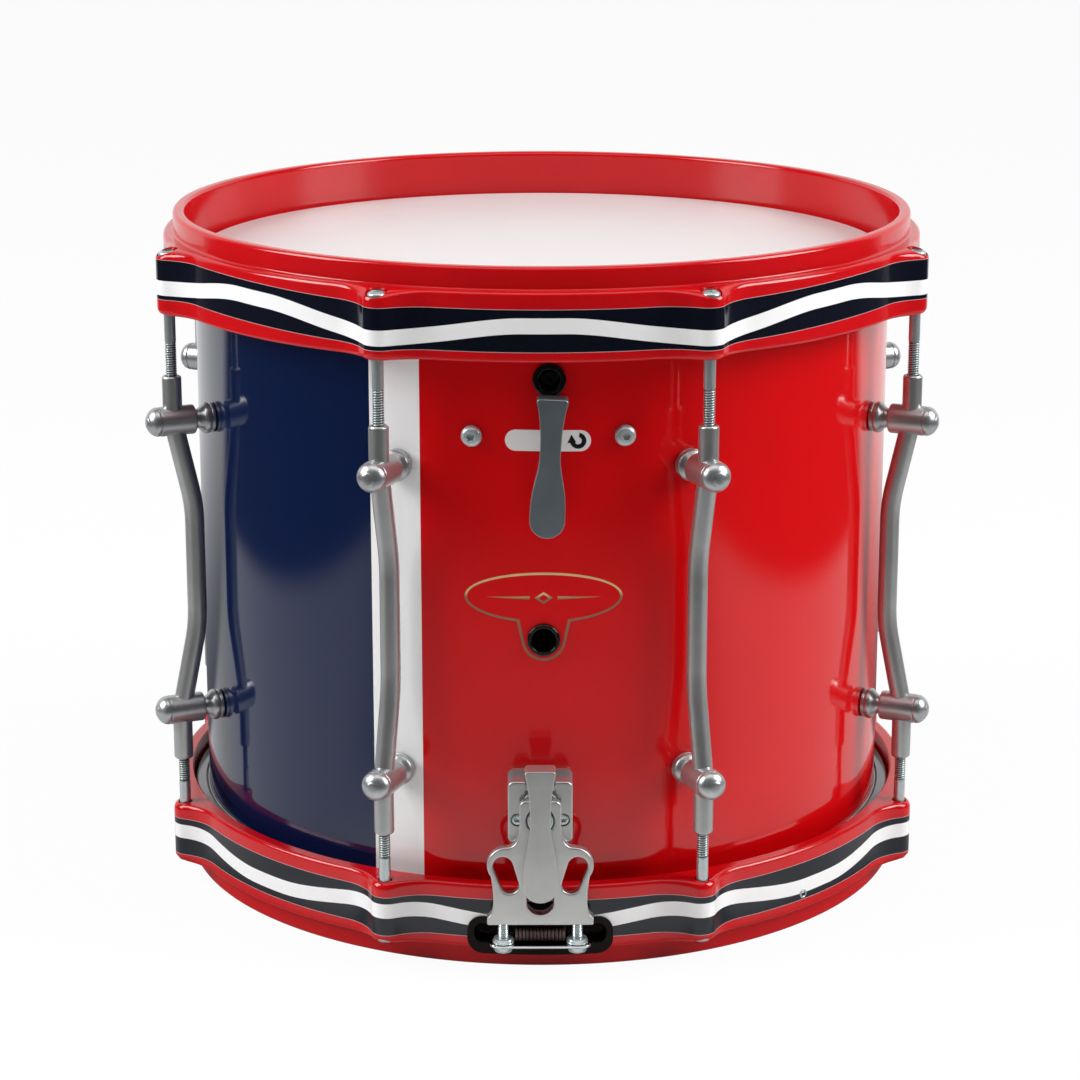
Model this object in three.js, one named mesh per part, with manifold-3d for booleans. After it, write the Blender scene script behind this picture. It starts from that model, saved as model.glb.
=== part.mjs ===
// Marching snare drum: a lacquered shell between two cast hoops, pulled together by rods and posts.
// Millimetres, +Z up, front towards -Y. The origin is on the drum's axis, where it stands.

import * as THREE from "three";
import { mergeVertices } from "three/addons/utils/BufferGeometryUtils.js";
import Module from "manifold-3d";

const wasm = await Module();
wasm.setup();

// Overall sizes and clearances
const drumHeight = 339;
const stationCount = 8;
const seatGap = 0.3;
const runningGap = 0.4;
const cutOverrun = 2;
const weldDistance = 0.0001;

// Facets
const ringSegments = 64;
const barrelSides = 10;
const screwSides = 10;
const grommetSides = 20;
const socketSides = 6;
const crownShare = 0.25;
const curveSteps = 3;

// Shell
const shellRadius = 177;
const shellWall = 7;
const bearingEdgeWidth = 2.4;
const bearingEdgeDepth = 3.2;
const bearingEdgeInset = 3.4;

// Drum heads: a film that bends over the bearing edge into a metal ring
const headInset = 22.5;
const filmThickness = 0.5;
const filmBendDrop = 2.6;
const filmSkirtDrop = 13.2;
const fleshHoopWidth = 6.4;
const fleshHoopHeight = 8.7;
const fleshHoopDrop = 4.5;

// Counter hoops: a round collar on a ring with a boss at each rod
const collarThickness = 6;
const collarHeight = 10.5;
const collarBearing = 3.5;
const lipRound = 1.9;
const ringHeight = 32.5;
const ringWall = 7;
const ringInnerGap = 0.5;
const ringTopRound = 2.4;
const ringBottomRound = 1.8;
const bossRadius = 8;
const bossStandout = 11.2;
const flankRadius = 30;
const bossSteps = 4;
const flankSteps = 2;
const ringSteps = 2;

// Tension rods
const rodInset = 5.7;
const rodRadius = 2.75;
const threadRadius = 2.6;
const rodHoleRadius = 3.6;
const rodHeadRadius = 4.5;
const rodHeadHeight = 5;
const rodHeadCrown = 1.2;
const rodHeadRecess = 1.8;
const rodHeadGap = 0.45;
const rodSocketRadius = 2.6;
const rodSocketDepth = 3;
const batterThreadLength = 31.5;
const snareThreadLength = 26.8;
const rodGrip = 15;
const rodBoreDepth = 19;

// Lug posts: a bent tube through two turned standoffs
const upperSleeveLength = 22.7;
const lowerSleeveLength = 26.1;
const upperBarrelDrop = 96.5;
const lowerBarrelHeight = 92.9;
const kneeShare = 0.293;
const kneeRise = 9;
const tubeRadius = 4.8;
const tubeBend = 9.5;
const sleeveChamfer = 0.6;
const flangeRadius = 7.9;
const flangeThickness = 2.2;
const coneLength = 4.6;
const neckRadius = 4.9;
const barrelRadius = 7.35;
const barrelChamfer = 0.9;
const barrelLength = 18.6;
const barrelSetback = 11.2;
const capTipRadius = 2.8;
const capLength = 6.4;

// Vent and key bush
const ventHeight = 160.8;
const grommetFlangeRadius = 7.35;
const grommetFlangeThickness = 2;
const grommetRound = 0.7;
const grommetBarrelRadius = 6;
const ventWall = 1.25;
const bushWall = 2.1;
const bushDrop = 53.6;
const bushOffset = 2.6;

// Throw-off levers
const leverWidth = 14;
const leverWaist = 9.4;
const leverPaddle = 16.5;
const leverCorner = 3;
const leverBevel = 0.7;
const leverWaistShare = 0.42;
const leverPaddleShare = 0.8;

// Upper throw-off
const upperLeverLength = 65.5;
const pivotBelowBush = 13.6;
const upperLeverPivotDrop = 7;
const upperLeverOffset = 3.8;
const upperLeverTiltDegrees = 2.6;
const upperLeverStandout = 13.3;
const upperLeverBlade = 4.5;
const upperLeverClearance = 0.7;
const upperLeverHeadHeight = 14;
const shaftRadius = 3;
const shaftSeatDepth = 6;
const camRadius = 8;
const camThrow = 2.1;
const camLength = 6;
const camSetback = 8;
const shaftTail = 3;

// Upper snare frame, held inside the shell by screws
const frameScrewOffset = 2.2;
const frameScrewSpacing = 70.6;
const frameScrewRise = 8.3;
const frameScrewHeadRadius = 5;
const frameScrewHeadHeight = 3.2;
const frameScrewShankRadius = 2.4;
const frameScrewSocketRadius = 1.8;
const frameScrewSocketDepth = 1.6;
const footThickness = 9;
const footWeb = 2;
const frontFootWidth = 92;
const rearFootWidth = 84;
const footBelowPivot = 21.8;
const frontFootMargin = 7.6;
const rearFootMargin = 4;
const railSpacing = 60;
const railWidth = 8;
const railRise = 4;
const railHeight = 12;
const guideRadius = 2.5;
const guideRise = 10.5;
const guideInset = 24;

// Upper snares on their lifting bridge
const bridgeBottomDrop = 45.5;
const bridgeSideHeight = 7;
const bridgeEndDepth = 12;
const bridgeEndLap = 7;
const bridgeSideWidth = 6;
const bridgeSideSpacing = 38;
const followerDepth = 8;
const upperSnareWidth = 32;
const snareThickness = 1.4;
const keyScrewHeadGap = 0.7;
const keyScrewHeadLength = 4;
const keyScrewShankRadius = 2;
const keyScrewSocketRadius = 1.6;
const keyScrewSetback = 1.5;

// Lower strainer body
const strainerOffset = -1.7;
const strainerCheek = 7.95;
const strainerDepth = 20.2;
const strainerBottom = 67;
const strainerHeight = 30.5;
const strainerCorner = 3;
const strainerBackWall = 4.2;
const strainerFrontWall = 7;
const strainerGrooveDepth = 6;
const strainerPocketWidth = 19.4;
const strainerPocketDepth = 5;
const strainerPocketDrop = 4.6;
const strainerPocketHeight = 8.9;
const bodyScrewRise = 10.8;
const bodyScrewHeadRadius = 2.9;
const bodyScrewHeadHeight = 2;
const bodyScrewShankRadius = 1.6;
const bodyScrewSocketRadius = 1.3;
const bodyScrewSocketDepth = 1;

// Lower lever
const lowerLeverRise = 8.1;
const lowerLeverTipGap = 5;
const lowerLeverBlade = 3.8;
const lowerLeverHeel = 5;
const lowerLeverHeadGap = 0.6;
const lowerPivotSink = 4;
const lowerPivotSetback = 2.5;
const lowerPivotRadius = 1.6;

// Sliding carriage, its block and the snare clamp
const carriageThickness = 5;
const carriageBevel = 0.8;
const carriageTopDrop = 3.7;
const carriageBottom = 27.9;
const tongueWidth = 19.7;
const tongueCorner = 3;
const earRise = 21.5;
const earRadius = 9.2;
const earTurnDegrees = 36;
const neckRise = 14.7;
const waistInset = 2.7;
const waistDrop = 11.5;
const carriageFootHeight = 8.1;
const carriageFootDepth = 9;
const carriageFootSetback = 1.5;
const fingerSlotWidth = 12.6;
const fingerSlotRise = 4.9;
const fingerSlotBelowScrew = 17.9;
const fingerHoleWeb = 4.4;
const fingerHoleLean = 3;
const fingerHoleLength = 10;
const fingerHoleOut = 1.1;
const fingerHoleDrop = 0.3;
const fingerHoleTopRadius = 5.4;
const fingerHoleBottomRadius = 3.9;
const slideBlockDrop = 3.8;
const slideBlockHeight = 18;
const slideBlockDepth = 11.6;
const slideBlockSkin = 0.6;
const centreScrewDrop = 6.1;
const centreScrewHeadRadius = 6.3;
const centreScrewHeadHeight = 2.2;
const centreScrewShankRadius = 2.5;
const centreScrewSocketRadius = 2.4;
const centreScrewSocketDepth = 1.3;
const adjusterSideGap = 0.85;
const adjusterRadius = 2.6;
const adjusterSkin = 1.1;
const adjusterWasherRadius = 5.1;
const adjusterWasherHeight = 2.4;
const adjusterHeadRadius = 4.6;
const adjusterHeadHeight = 3;
const adjusterHeadCrown = 1.4;
const adjusterSocketRadius = 1.7;
const adjusterSocketDepth = 1.5;
const clampBelowHead = 3.8;
const clampThickness = 1.2;
const clampEnd = 6.55;
const clampDepth = 10;
const clampCornerShare = 0.42;

// Snare gates through the lower hoop
const gateWidth = 69.5;
const gateHeight = 16.4;
const gateCornerShare = 0.451;
const gateFlangeLap = 1.9;
const gateFlangeThickness = 1.1;
const gateLinerWall = 1.3;

// Lower snares
const lowerSnareWidth = 23;
const lowerSnareReach = 4;
const lowerSnareStepOut = 1;
const lowerSnareSettleIn = 2;

// Rear butt
const buttHeight = 25;

// Sizes that follow from those above
const shellBottom = headInset + filmThickness + seatGap;
const shellTop = drumHeight - shellBottom;
const shellInnerRadius = shellRadius - shellWall;
const shellSeat = shellRadius + seatGap;
const filmFace = drumHeight - headInset;
const filmInnerRadius = shellRadius + seatGap;
const filmOuterRadius = filmInnerRadius + filmThickness;
const fleshHoopInnerRadius = filmOuterRadius + seatGap;
const fleshHoopOuterRadius = fleshHoopInnerRadius + fleshHoopWidth;
const fleshHoopTop = filmFace - fleshHoopDrop;
const ringInnerRadius = fleshHoopOuterRadius + ringInnerGap;
const ringOuterRadius = ringInnerRadius + ringWall;
const bossReach = ringOuterRadius + bossStandout;
const rodCircleRadius = bossReach - rodInset;
const collarInnerRadius = fleshHoopOuterRadius - collarBearing;
const collarOuterRadius = collarInnerRadius + collarThickness;
const ringTop = drumHeight - collarHeight;
const ringBottom = ringTop - ringHeight;
const shoulderHeight = fleshHoopTop + seatGap;
const rodHeadTop = ringTop - rodHeadRecess;
const rodHeadSeat = rodHeadTop - rodHeadHeight;
const rodCounterboreFloor = rodHeadSeat - seatGap;
const rodCounterboreRadius = rodHeadRadius + rodHeadGap;
const upperBarrelHeight = drumHeight - upperBarrelDrop;
const sleeveTop = upperBarrelHeight + upperSleeveLength;
const sleeveBottom = lowerBarrelHeight - lowerSleeveLength;
const kneeRun = (upperBarrelHeight - lowerBarrelHeight) * kneeShare;
const neckLength = rodCircleRadius - barrelSetback - shellSeat - flangeThickness - coneLength;
const bushHeight = drumHeight - bushDrop;
const ventBoreRadius = grommetBarrelRadius - ventWall;
const bushBoreRadius = grommetBarrelRadius - bushWall;
const keyScrewHeadRadius = bushBoreRadius - keyScrewHeadGap;
const stationAngle = 2 * Math.PI / stationCount;

// The upper throw-off and its frame, worked out from the key bush
const upperPivotHeight = bushHeight - pivotBelowBush;
const upperLeverFront = shellRadius + upperLeverStandout;
const upperLeverBack = shellSeat + grommetFlangeThickness + upperLeverClearance;
const guidePlace = shellInnerRadius - guideInset;
const camPlace = guidePlace - camSetback;
const footBottom = upperPivotHeight - footBelowPivot;
const frameScrewHeight = footBottom + frameScrewRise;
const frameScrewTurn = Math.asin((frameScrewOffset + frameScrewSpacing / 2) / shellRadius);
const frameScrewEnd = (shellInnerRadius - footThickness + footWeb) / Math.cos(frameScrewTurn);
const railBottom = footBottom + railRise;
const frontFootTop = bushHeight + frontFootMargin;
const rearFootTop = railBottom + railHeight + rearFootMargin;
const bridgeBottom = drumHeight - bridgeBottomDrop;
const guideTop = bridgeBottom + guideRise;
const bridgeEndWidth = railSpacing + 2 * bridgeEndLap;

// The lower strainer, worked out from its body
const leverClearWidth = leverWidth + 2 * seatGap;
const strainerWidth = leverClearWidth + 2 * strainerCheek;
const strainerTop = strainerBottom + strainerHeight;
const strainerPocketTop = strainerTop - strainerPocketDrop;
const strainerFace = shellSeat + strainerDepth;
const bodyScrewSpacing = leverClearWidth + strainerCheek;
const bodyScrewHeight = strainerBottom + bodyScrewRise;
const carriageBack = strainerFace + runningGap;
const carriageFace = carriageBack + carriageThickness;
const lowerLeverBack = carriageFace + runningGap;
const lowerLeverFace = lowerLeverBack + lowerLeverBlade;
const lowerLeverTop = strainerTop + lowerLeverRise;
const lowerPivotPlace = strainerFace - lowerPivotSetback;
const lowerPivotHeight = strainerTop - lowerPivotSink;
const carriageTop = lowerPivotHeight - carriageTopDrop;
const carriageFootTop = carriageBottom + carriageFootHeight;
const slideBlockTop = carriageTop - slideBlockDrop;
const centreScrewHeight = slideBlockTop - centreScrewDrop;
const centreScrewLength = slideBlockDepth - slideBlockSkin;

// The carriage's outline, worked out from its slot and finger holes
const fingerSlotBottom = carriageBottom + fingerSlotRise;
const fingerSlotTop = centreScrewHeight - fingerSlotBelowScrew;
const fingerHoleBottomSpread = fingerSlotWidth / 2 + fingerHoleWeb + fingerHoleBottomRadius;
const fingerHoleTopSpread = fingerHoleBottomSpread + fingerHoleLean;
const earHeight = carriageFootTop + earRise;
const earCentre = fingerHoleTopSpread - fingerHoleOut;
const earWidth = 2 * (earCentre + earRadius);
const fingerHoleTopHeight = earHeight - fingerHoleDrop;
const fingerHoleBottomHeight = fingerHoleTopHeight - fingerHoleLength;

// The snares, their clamps and their gates
const snareFace = headInset - seatGap;
const clampTop = snareFace - clampBelowHead;
const adjusterPlace = carriageBack - carriageFootSetback + carriageFootDepth / 2;
const adjusterSpacing = lowerSnareWidth + 2 * (adjusterWasherRadius + adjusterSideGap);
const adjusterGrip = carriageFootHeight - adjusterSkin;
const clampWidth = adjusterSpacing + 2 * clampEnd;
const gateTop = headInset + fleshHoopDrop + seatGap;
const gateBottom = gateTop - gateHeight;
const gateCorner = gateHeight * gateCornerShare;
const lowerSnareStep = shellRadius + lowerSnareStepOut;
const lowerSnareSettle = shellInnerRadius - lowerSnareSettleIn;

// Finishes
const redLacquer = new THREE.MeshStandardMaterial({ color: 0xc8101c, roughness: 0.18, metalness: 0 });
const redHoop = new THREE.MeshStandardMaterial({ color: 0xcc141e, roughness: 0.3, metalness: 0 });
const whiteFilm = new THREE.MeshStandardMaterial({ color: 0xf0f0ee, roughness: 0.55, metalness: 0 });
const aluminium = new THREE.MeshStandardMaterial({ color: 0xb4b4b2, roughness: 0.35, metalness: 1 });
const satinPost = new THREE.MeshStandardMaterial({ color: 0x8e9092, roughness: 0.42, metalness: 1 });
const zincSteel = new THREE.MeshStandardMaterial({ color: 0xb9c4c4, roughness: 0.28, metalness: 1 });
const castMetal = new THREE.MeshStandardMaterial({ color: 0xaaa8a4, roughness: 0.38, metalness: 1 });
const blackPlastic = new THREE.MeshStandardMaterial({ color: 0x141414, roughness: 0.3, metalness: 0 });
const snareCord = new THREE.MeshStandardMaterial({ color: 0x6a4a3c, roughness: 0.6, metalness: 0 });

// Signed volume of an indexed mesh, negative when its faces point inwards
function signedVolume(positions, triangles) {
  let sum = 0;
  const corner = [new THREE.Vector3(), new THREE.Vector3(), new THREE.Vector3()];
  for (let t = 0; t < triangles.length; t += 3) {
    corner.forEach((point, k) => point.fromArray(positions, 3 * triangles[t + k]));
    sum += corner[0].dot(corner[1].cross(corner[2]));
  }
  return sum;
}

// A closed three.js geometry as a solid that can be joined and cut
function solid(geometry) {
  const bare = new THREE.BufferGeometry();
  bare.setAttribute("position", geometry.getAttribute("position"));
  bare.setIndex(geometry.index);
  const merged = mergeVertices(bare, weldDistance);
  const positions = new Float32Array(merged.getAttribute("position").array);
  const source = merged.index.array;
  const kept = [];
  for (let t = 0; t < source.length; t += 3) {
    const [a, b, c] = [source[t], source[t + 1], source[t + 2]];
    if (a !== b && b !== c && c !== a) kept.push(a, b, c);
  }
  if (signedVolume(positions, kept) < 0) kept.reverse();
  return new wasm.Manifold(new wasm.Mesh({
    numProp: 3,
    vertProperties: positions,
    triVerts: new Uint32Array(kept),
  }));
}

// A finished solid as a three.js geometry
function geometryOf(body) {
  const mesh = body.getMesh();
  const geometry = new THREE.BufferGeometry();
  geometry.setAttribute("position", new THREE.BufferAttribute(new Float32Array(mesh.vertProperties), 3));
  geometry.setIndex(new THREE.BufferAttribute(new Uint32Array(mesh.triVerts), 1));
  geometry.computeVertexNormals();
  return geometry;
}

function join(...bodies) {
  return bodies.reduce((whole, body) => whole.add(body));
}

function cut(body, ...tools) {
  return tools.reduce((rest, tool) => rest.subtract(tool), body);
}

// A profile of [radius, height] points turned about the Z axis
function turned(profile, sides = ringSegments) {
  const points = profile.map(([radius, height]) => new THREE.Vector2(radius, height));
  return new THREE.LatheGeometry(points, sides).rotateX(Math.PI / 2);
}

// The same, with the profile's loop closed for a ring
function turnedRing(profile, sides = ringSegments) {
  return turned([...profile, profile[0]], sides);
}

// Turns a piece that was made along Z so that its height runs outwards at the front
function facingFront(geometry) {
  return geometry.rotateX(Math.PI / 2);
}

// A round bar along Z
function bar(radius, bottom, top, sides = screwSides) {
  const geometry = new THREE.CylinderGeometry(radius, radius, top - bottom, sides);
  return geometry.rotateX(Math.PI / 2).translate(0, 0, (top + bottom) / 2);
}

// A round bar that points outwards at the front, from one distance from the axis to another
function spoke(radius, inner, outer, sides = screwSides) {
  return facingFront(bar(radius, inner, outer, sides));
}

function block(width, depth, height) {
  return new THREE.BoxGeometry(width, depth, height);
}

// A box between two heights and two distances from the axis, at the front
function frontBlock(width, inner, outer, bottom, top) {
  return block(width, outer - inner, top - bottom).translate(0, -(outer + inner) / 2, (top + bottom) / 2);
}

// A shape drawn in width and height, as a plate at the front with its edges bevelled
function frontPlate(shape, inner, outer, bevel = 0) {
  const geometry = new THREE.ExtrudeGeometry(shape, {
    depth: outer - inner - 2 * bevel,
    bevelEnabled: bevel > 0,
    bevelThickness: bevel,
    bevelSize: bevel,
    bevelOffset: -bevel,
    bevelSegments: 1,
    curveSegments: curveSteps,
  });
  return facingFront(geometry).translate(0, -(inner + bevel), 0);
}

function roundedRectangle(width, bottom, top, corner) {
  const half = width / 2;
  const shape = new THREE.Shape();
  shape.moveTo(-half + corner, bottom);
  shape.lineTo(half - corner, bottom);
  shape.absarc(half - corner, bottom + corner, corner, -Math.PI / 2, 0, false);
  shape.absarc(half - corner, top - corner, corner, 0, Math.PI / 2, false);
  shape.absarc(-half + corner, top - corner, corner, Math.PI / 2, Math.PI, false);
  shape.absarc(-half + corner, bottom + corner, corner, Math.PI, 1.5 * Math.PI, false);
  return shape;
}

// A skin through rings of equally many points, closed at both ends
function loft(rings) {
  const count = rings[0].length;
  const centres = [rings[0], rings[rings.length - 1]].map((ring) => {
    const sum = ring.reduce((total, point) => total.add(point), new THREE.Vector3());
    return sum.divideScalar(count);
  });
  const points = [...rings.flat(), ...centres];
  const index = [];
  for (let level = 0; level + 1 < rings.length; level += 1) {
    for (let k = 0; k < count; k += 1) {
      const here = level * count + k;
      const next = level * count + (k + 1) % count;
      index.push(here, next, next + count, here, next + count, here + count);
    }
  }
  const last = (rings.length - 1) * count;
  for (let k = 0; k < count; k += 1) {
    index.push(rings.length * count, (k + 1) % count, k);
    index.push(rings.length * count + 1, last + k, last + (k + 1) % count);
  }
  const geometry = new THREE.BufferGeometry().setFromPoints(points);
  geometry.setIndex(index);
  return geometry;
}

// Angles of the rod stations, measured from the front towards +X
function stationAngles() {
  return Array.from({ length: stationCount }, (_, k) => (k + 0.5) * stationAngle);
}

// Copies of a front cutting tool at every station
function atStations(geometry) {
  return stationAngles().map((angle) => solid(geometry.clone().rotateZ(angle)));
}

// Shell

function shellProfile() {
  const edge = shellInnerRadius + bearingEdgeInset;
  const lip = edge + bearingEdgeWidth / 2;
  return [
    [shellInnerRadius, shellBottom + bearingEdgeDepth],
    [edge - bearingEdgeWidth / 2, shellBottom],
    [lip, shellBottom],
    [shellRadius, shellBottom + bearingEdgeDepth],
    [shellRadius, shellTop - bearingEdgeDepth],
    [lip, shellTop],
    [edge - bearingEdgeWidth / 2, shellTop],
    [shellInnerRadius, shellTop - bearingEdgeDepth],
  ];
}

function wallHole({ radius, height, offset = 0, angle = 0, sides = screwSides }) {
  const through = spoke(radius, shellInnerRadius - cutOverrun, shellRadius + cutOverrun, sides);
  return solid(through.translate(offset, 0, height).rotateZ(angle));
}

function shellGeometry() {
  const grommetHole = { radius: grommetBarrelRadius + seatGap, sides: grommetSides };
  const shaftHole = { radius: shaftRadius + runningGap, height: upperPivotHeight, offset: upperLeverOffset };
  const frameHole = { radius: frameScrewShankRadius + seatGap, height: frameScrewHeight };
  const bodyHole = { radius: bodyScrewShankRadius + seatGap, height: bodyScrewHeight };
  const holes = [
    { ...grommetHole, height: ventHeight },
    { ...grommetHole, height: bushHeight, offset: bushOffset },
    shaftHole,
    ...frameScrewAngles().map((angle) => ({ ...frameHole, angle })),
    ...bodyScrewOffsets().map((offset) => ({ ...bodyHole, offset })),
  ];
  return geometryOf(cut(solid(turnedRing(shellProfile())), ...holes.map(wallHole)));
}

// Heads and flesh hoops, drawn for the upper side

function filmProfile() {
  const bend = shellInnerRadius + bearingEdgeInset + bearingEdgeWidth / 2;
  const skirtEnd = filmFace - filmSkirtDrop;
  return [
    [0, filmFace],
    [bend, filmFace],
    [filmOuterRadius, filmFace - filmBendDrop],
    [filmOuterRadius, skirtEnd],
    [filmInnerRadius, skirtEnd],
    [filmInnerRadius, filmFace - filmThickness - filmBendDrop],
    [bend, filmFace - filmThickness],
    [0, filmFace - filmThickness],
  ];
}

function fleshHoopProfile() {
  const bottom = fleshHoopTop - fleshHoopHeight;
  return [
    [fleshHoopInnerRadius, bottom],
    [fleshHoopOuterRadius, bottom],
    [fleshHoopOuterRadius, fleshHoopTop],
    [fleshHoopInnerRadius, fleshHoopTop],
  ];
}

// Counter hoops, drawn for the upper side

// Where the concave flank beside a boss meets the ring, as an angle from the boss
function flankSpread() {
  const bossCentre = bossReach - bossRadius;
  const flankCentre = ringOuterRadius + flankRadius;
  const apart = bossRadius + flankRadius;
  return Math.acos((flankCentre ** 2 + bossCentre ** 2 - apart ** 2) / (2 * flankCentre * bossCentre));
}

// Where the boss's arc passes into its flank
function bossSpread() {
  const spread = flankSpread();
  const flankCentre = ringOuterRadius + flankRadius;
  const share = bossRadius / (bossRadius + flankRadius);
  const bossCentre = bossReach - bossRadius;
  const across = share * flankCentre * Math.sin(spread);
  const along = bossCentre + share * (flankCentre * Math.cos(spread) - bossCentre);
  return Math.atan2(across, along);
}

// The hoop's outer radius at an angle from the nearest boss
function hoopRadius(angle) {
  const from = Math.abs(angle);
  const spread = flankSpread();
  if (from >= spread) return ringOuterRadius;
  if (from <= bossSpread()) {
    const bossCentre = bossReach - bossRadius;
    return bossCentre * Math.cos(from) + Math.sqrt(bossRadius ** 2 - (bossCentre * Math.sin(from)) ** 2);
  }
  const flankCentre = ringOuterRadius + flankRadius;
  const off = spread - from;
  return flankCentre * Math.cos(off) - Math.sqrt(flankRadius ** 2 - (flankCentre * Math.sin(off)) ** 2);
}

// Angles at which the hoop's outline has a point, for one station
function outlineAngles() {
  const stops = [
    { until: bossSpread(), steps: bossSteps / 2 },
    { until: flankSpread(), steps: flankSteps },
    { until: stationAngle / 2, steps: ringSteps },
  ];
  const half = [0];
  stops.forEach(({ until, steps }) => {
    const start = half[half.length - 1];
    for (let k = 1; k <= steps; k += 1) half.push(start + (until - start) * k / steps);
  });
  const mirrored = half.slice(1, -1).map((angle) => -angle).reverse();
  return [...mirrored, ...half];
}

// One level of the ring: its outline at a height, drawn in by an inset
function ringLevel(height, inset) {
  return stationAngles().flatMap((station) => outlineAngles().map((angle) => {
    const radius = hoopRadius(angle) - inset;
    const turn = station + angle;
    return new THREE.Vector3(radius * Math.sin(turn), -radius * Math.cos(turn), height);
  }));
}

function hoopRing() {
  return loft([
    ringLevel(ringBottom, ringBottomRound),
    ringLevel(ringBottom + ringBottomRound, 0),
    ringLevel(ringTop - ringTopRound, 0),
    ringLevel(ringTop, ringTopRound),
  ]);
}

function collarProfile() {
  return [
    [collarInnerRadius - cutOverrun, ringTop - cutOverrun],
    [collarOuterRadius, ringTop - cutOverrun],
    [collarOuterRadius, drumHeight - lipRound],
    [collarOuterRadius - lipRound, drumHeight],
    [collarInnerRadius - cutOverrun, drumHeight],
  ];
}

// What is cut from inside the hoop: the collar's opening and the room for the flesh hoop
function hoopHollow() {
  return turned([
    [0, ringBottom - cutOverrun],
    [ringInnerRadius, ringBottom - cutOverrun],
    [ringInnerRadius, shoulderHeight],
    [collarInnerRadius, shoulderHeight],
    [collarInnerRadius, drumHeight - lipRound],
    [collarInnerRadius + lipRound + cutOverrun, drumHeight + cutOverrun],
    [0, drumHeight + cutOverrun],
  ]);
}

function hoopSolid() {
  const hole = bar(rodHoleRadius, ringBottom - cutOverrun, ringTop + cutOverrun);
  const counterbore = bar(rodCounterboreRadius, rodCounterboreFloor, ringTop + cutOverrun);
  const tools = [hole, counterbore].flatMap((tool) => atStations(tool.translate(0, -rodCircleRadius, 0)));
  return cut(join(solid(hoopRing()), solid(turnedRing(collarProfile()))), solid(hoopHollow()), ...tools);
}

// The cut through the lower hoop for one snare gate
function gateCut(place) {
  const lap = gateFlangeLap - seatGap;
  const shape = roundedRectangle(gateWidth - 2 * lap, gateBottom + lap, gateTop - lap, gateCorner - lap);
  const tool = frontPlate(shape, collarInnerRadius - cutOverrun, bossReach);
  return solid(placedAt(tool, place));
}

function lowerHoopSolid() {
  const flipped = geometryOf(hoopSolid()).rotateX(Math.PI).translate(0, 0, drumHeight);
  return cut(solid(flipped), gateCut(front), gateCut(rear));
}

// The two places where the snares leave the drum
const front = { offset: strainerOffset, turn: 0 };
const rear = { offset: -strainerOffset, turn: Math.PI };

function placedAt(geometry, place) {
  return geometry.translate(place.offset, 0, 0).rotateZ(place.turn);
}

// Gate liner: a flange on the hoop's face and a sleeve through its wall
function annulus(inner, outer) {
  return solid(turnedRing([
    [inner, gateBottom - cutOverrun],
    [outer, gateBottom - cutOverrun],
    [outer, gateTop + cutOverrun],
    [inner, gateTop + cutOverrun],
  ]));
}

function gateLinerSolid(place) {
  const lap = gateFlangeLap;
  const bore = lap + gateLinerWall;
  const slab = (inset) => {
    const corner = gateCorner - inset;
    const shape = roundedRectangle(gateWidth - 2 * inset, gateBottom + inset, gateTop - inset, corner);
    return solid(placedAt(frontPlate(shape, collarInnerRadius, bossReach), place));
  };
  const flangeSeat = ringOuterRadius + seatGap;
  const flange = slab(0).intersect(annulus(flangeSeat, flangeSeat + gateFlangeThickness));
  const sleeve = slab(lap).intersect(annulus(collarInnerRadius + seatGap, flangeSeat + seatGap));
  return cut(join(flange, sleeve), slab(bore));
}

// Rods, drawn for the upper side; the lower ones are shorter

function tensionRodGeometry(sleeveEnd, threadLength) {
  const end = sleeveEnd - rodGrip;
  const profile = [
    [0, end],
    [threadRadius, end],
    [threadRadius, end + threadLength],
    [rodRadius, end + threadLength],
    [rodRadius, rodHeadSeat],
    [rodHeadRadius, rodHeadSeat],
    [rodHeadRadius, rodHeadTop - rodHeadCrown],
    [rodSocketRadius + rodHeadCrown, rodHeadTop],
    [0, rodHeadTop],
  ];
  const socket = bar(rodSocketRadius, rodHeadTop - rodSocketDepth, rodHeadTop + cutOverrun, socketSides);
  const rod = cut(solid(turned(profile, screwSides)), solid(socket));
  return geometryOf(rod).translate(0, -rodCircleRadius, 0);
}

// Lug posts

function sectionRing(place, height, lean, radius) {
  return Array.from({ length: barrelSides }, (_, k) => {
    const angle = 2 * Math.PI * k / barrelSides;
    const outwards = radius * Math.cos(angle);
    return new THREE.Vector3(radius * Math.sin(angle), -(place + outwards), height + outwards * lean);
  });
}

// The post's tube, from its lower sleeve to its upper one, drawn in between the barrels
function postTube() {
  const out = rodCircleRadius;
  const drawn = out - tubeBend;
  const lean = tubeBend / kneeRun;
  const knee = (barrel, up) => [
    sectionRing(drawn + lean * kneeRise, barrel + up * (kneeRun - kneeRise), up * lean, tubeRadius),
    sectionRing(drawn, barrel + up * (kneeRun + kneeRise), 0, tubeRadius),
  ];
  const [lowerKneeStart, lowerKneeEnd] = knee(lowerBarrelHeight, 1);
  const [upperKneeEnd, upperKneeStart] = knee(upperBarrelHeight, -1);
  return loft([
    sectionRing(out, sleeveBottom, 0, tubeRadius - sleeveChamfer),
    sectionRing(out, sleeveBottom + sleeveChamfer, 0, tubeRadius),
    sectionRing(out, lowerBarrelHeight, lean / 2, tubeRadius),
    lowerKneeStart,
    lowerKneeEnd,
    upperKneeStart,
    upperKneeEnd,
    sectionRing(out, upperBarrelHeight, -lean / 2, tubeRadius),
    sectionRing(out, sleeveTop - sleeveChamfer, 0, tubeRadius),
    sectionRing(out, sleeveTop, 0, tubeRadius - sleeveChamfer),
  ]);
}

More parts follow.
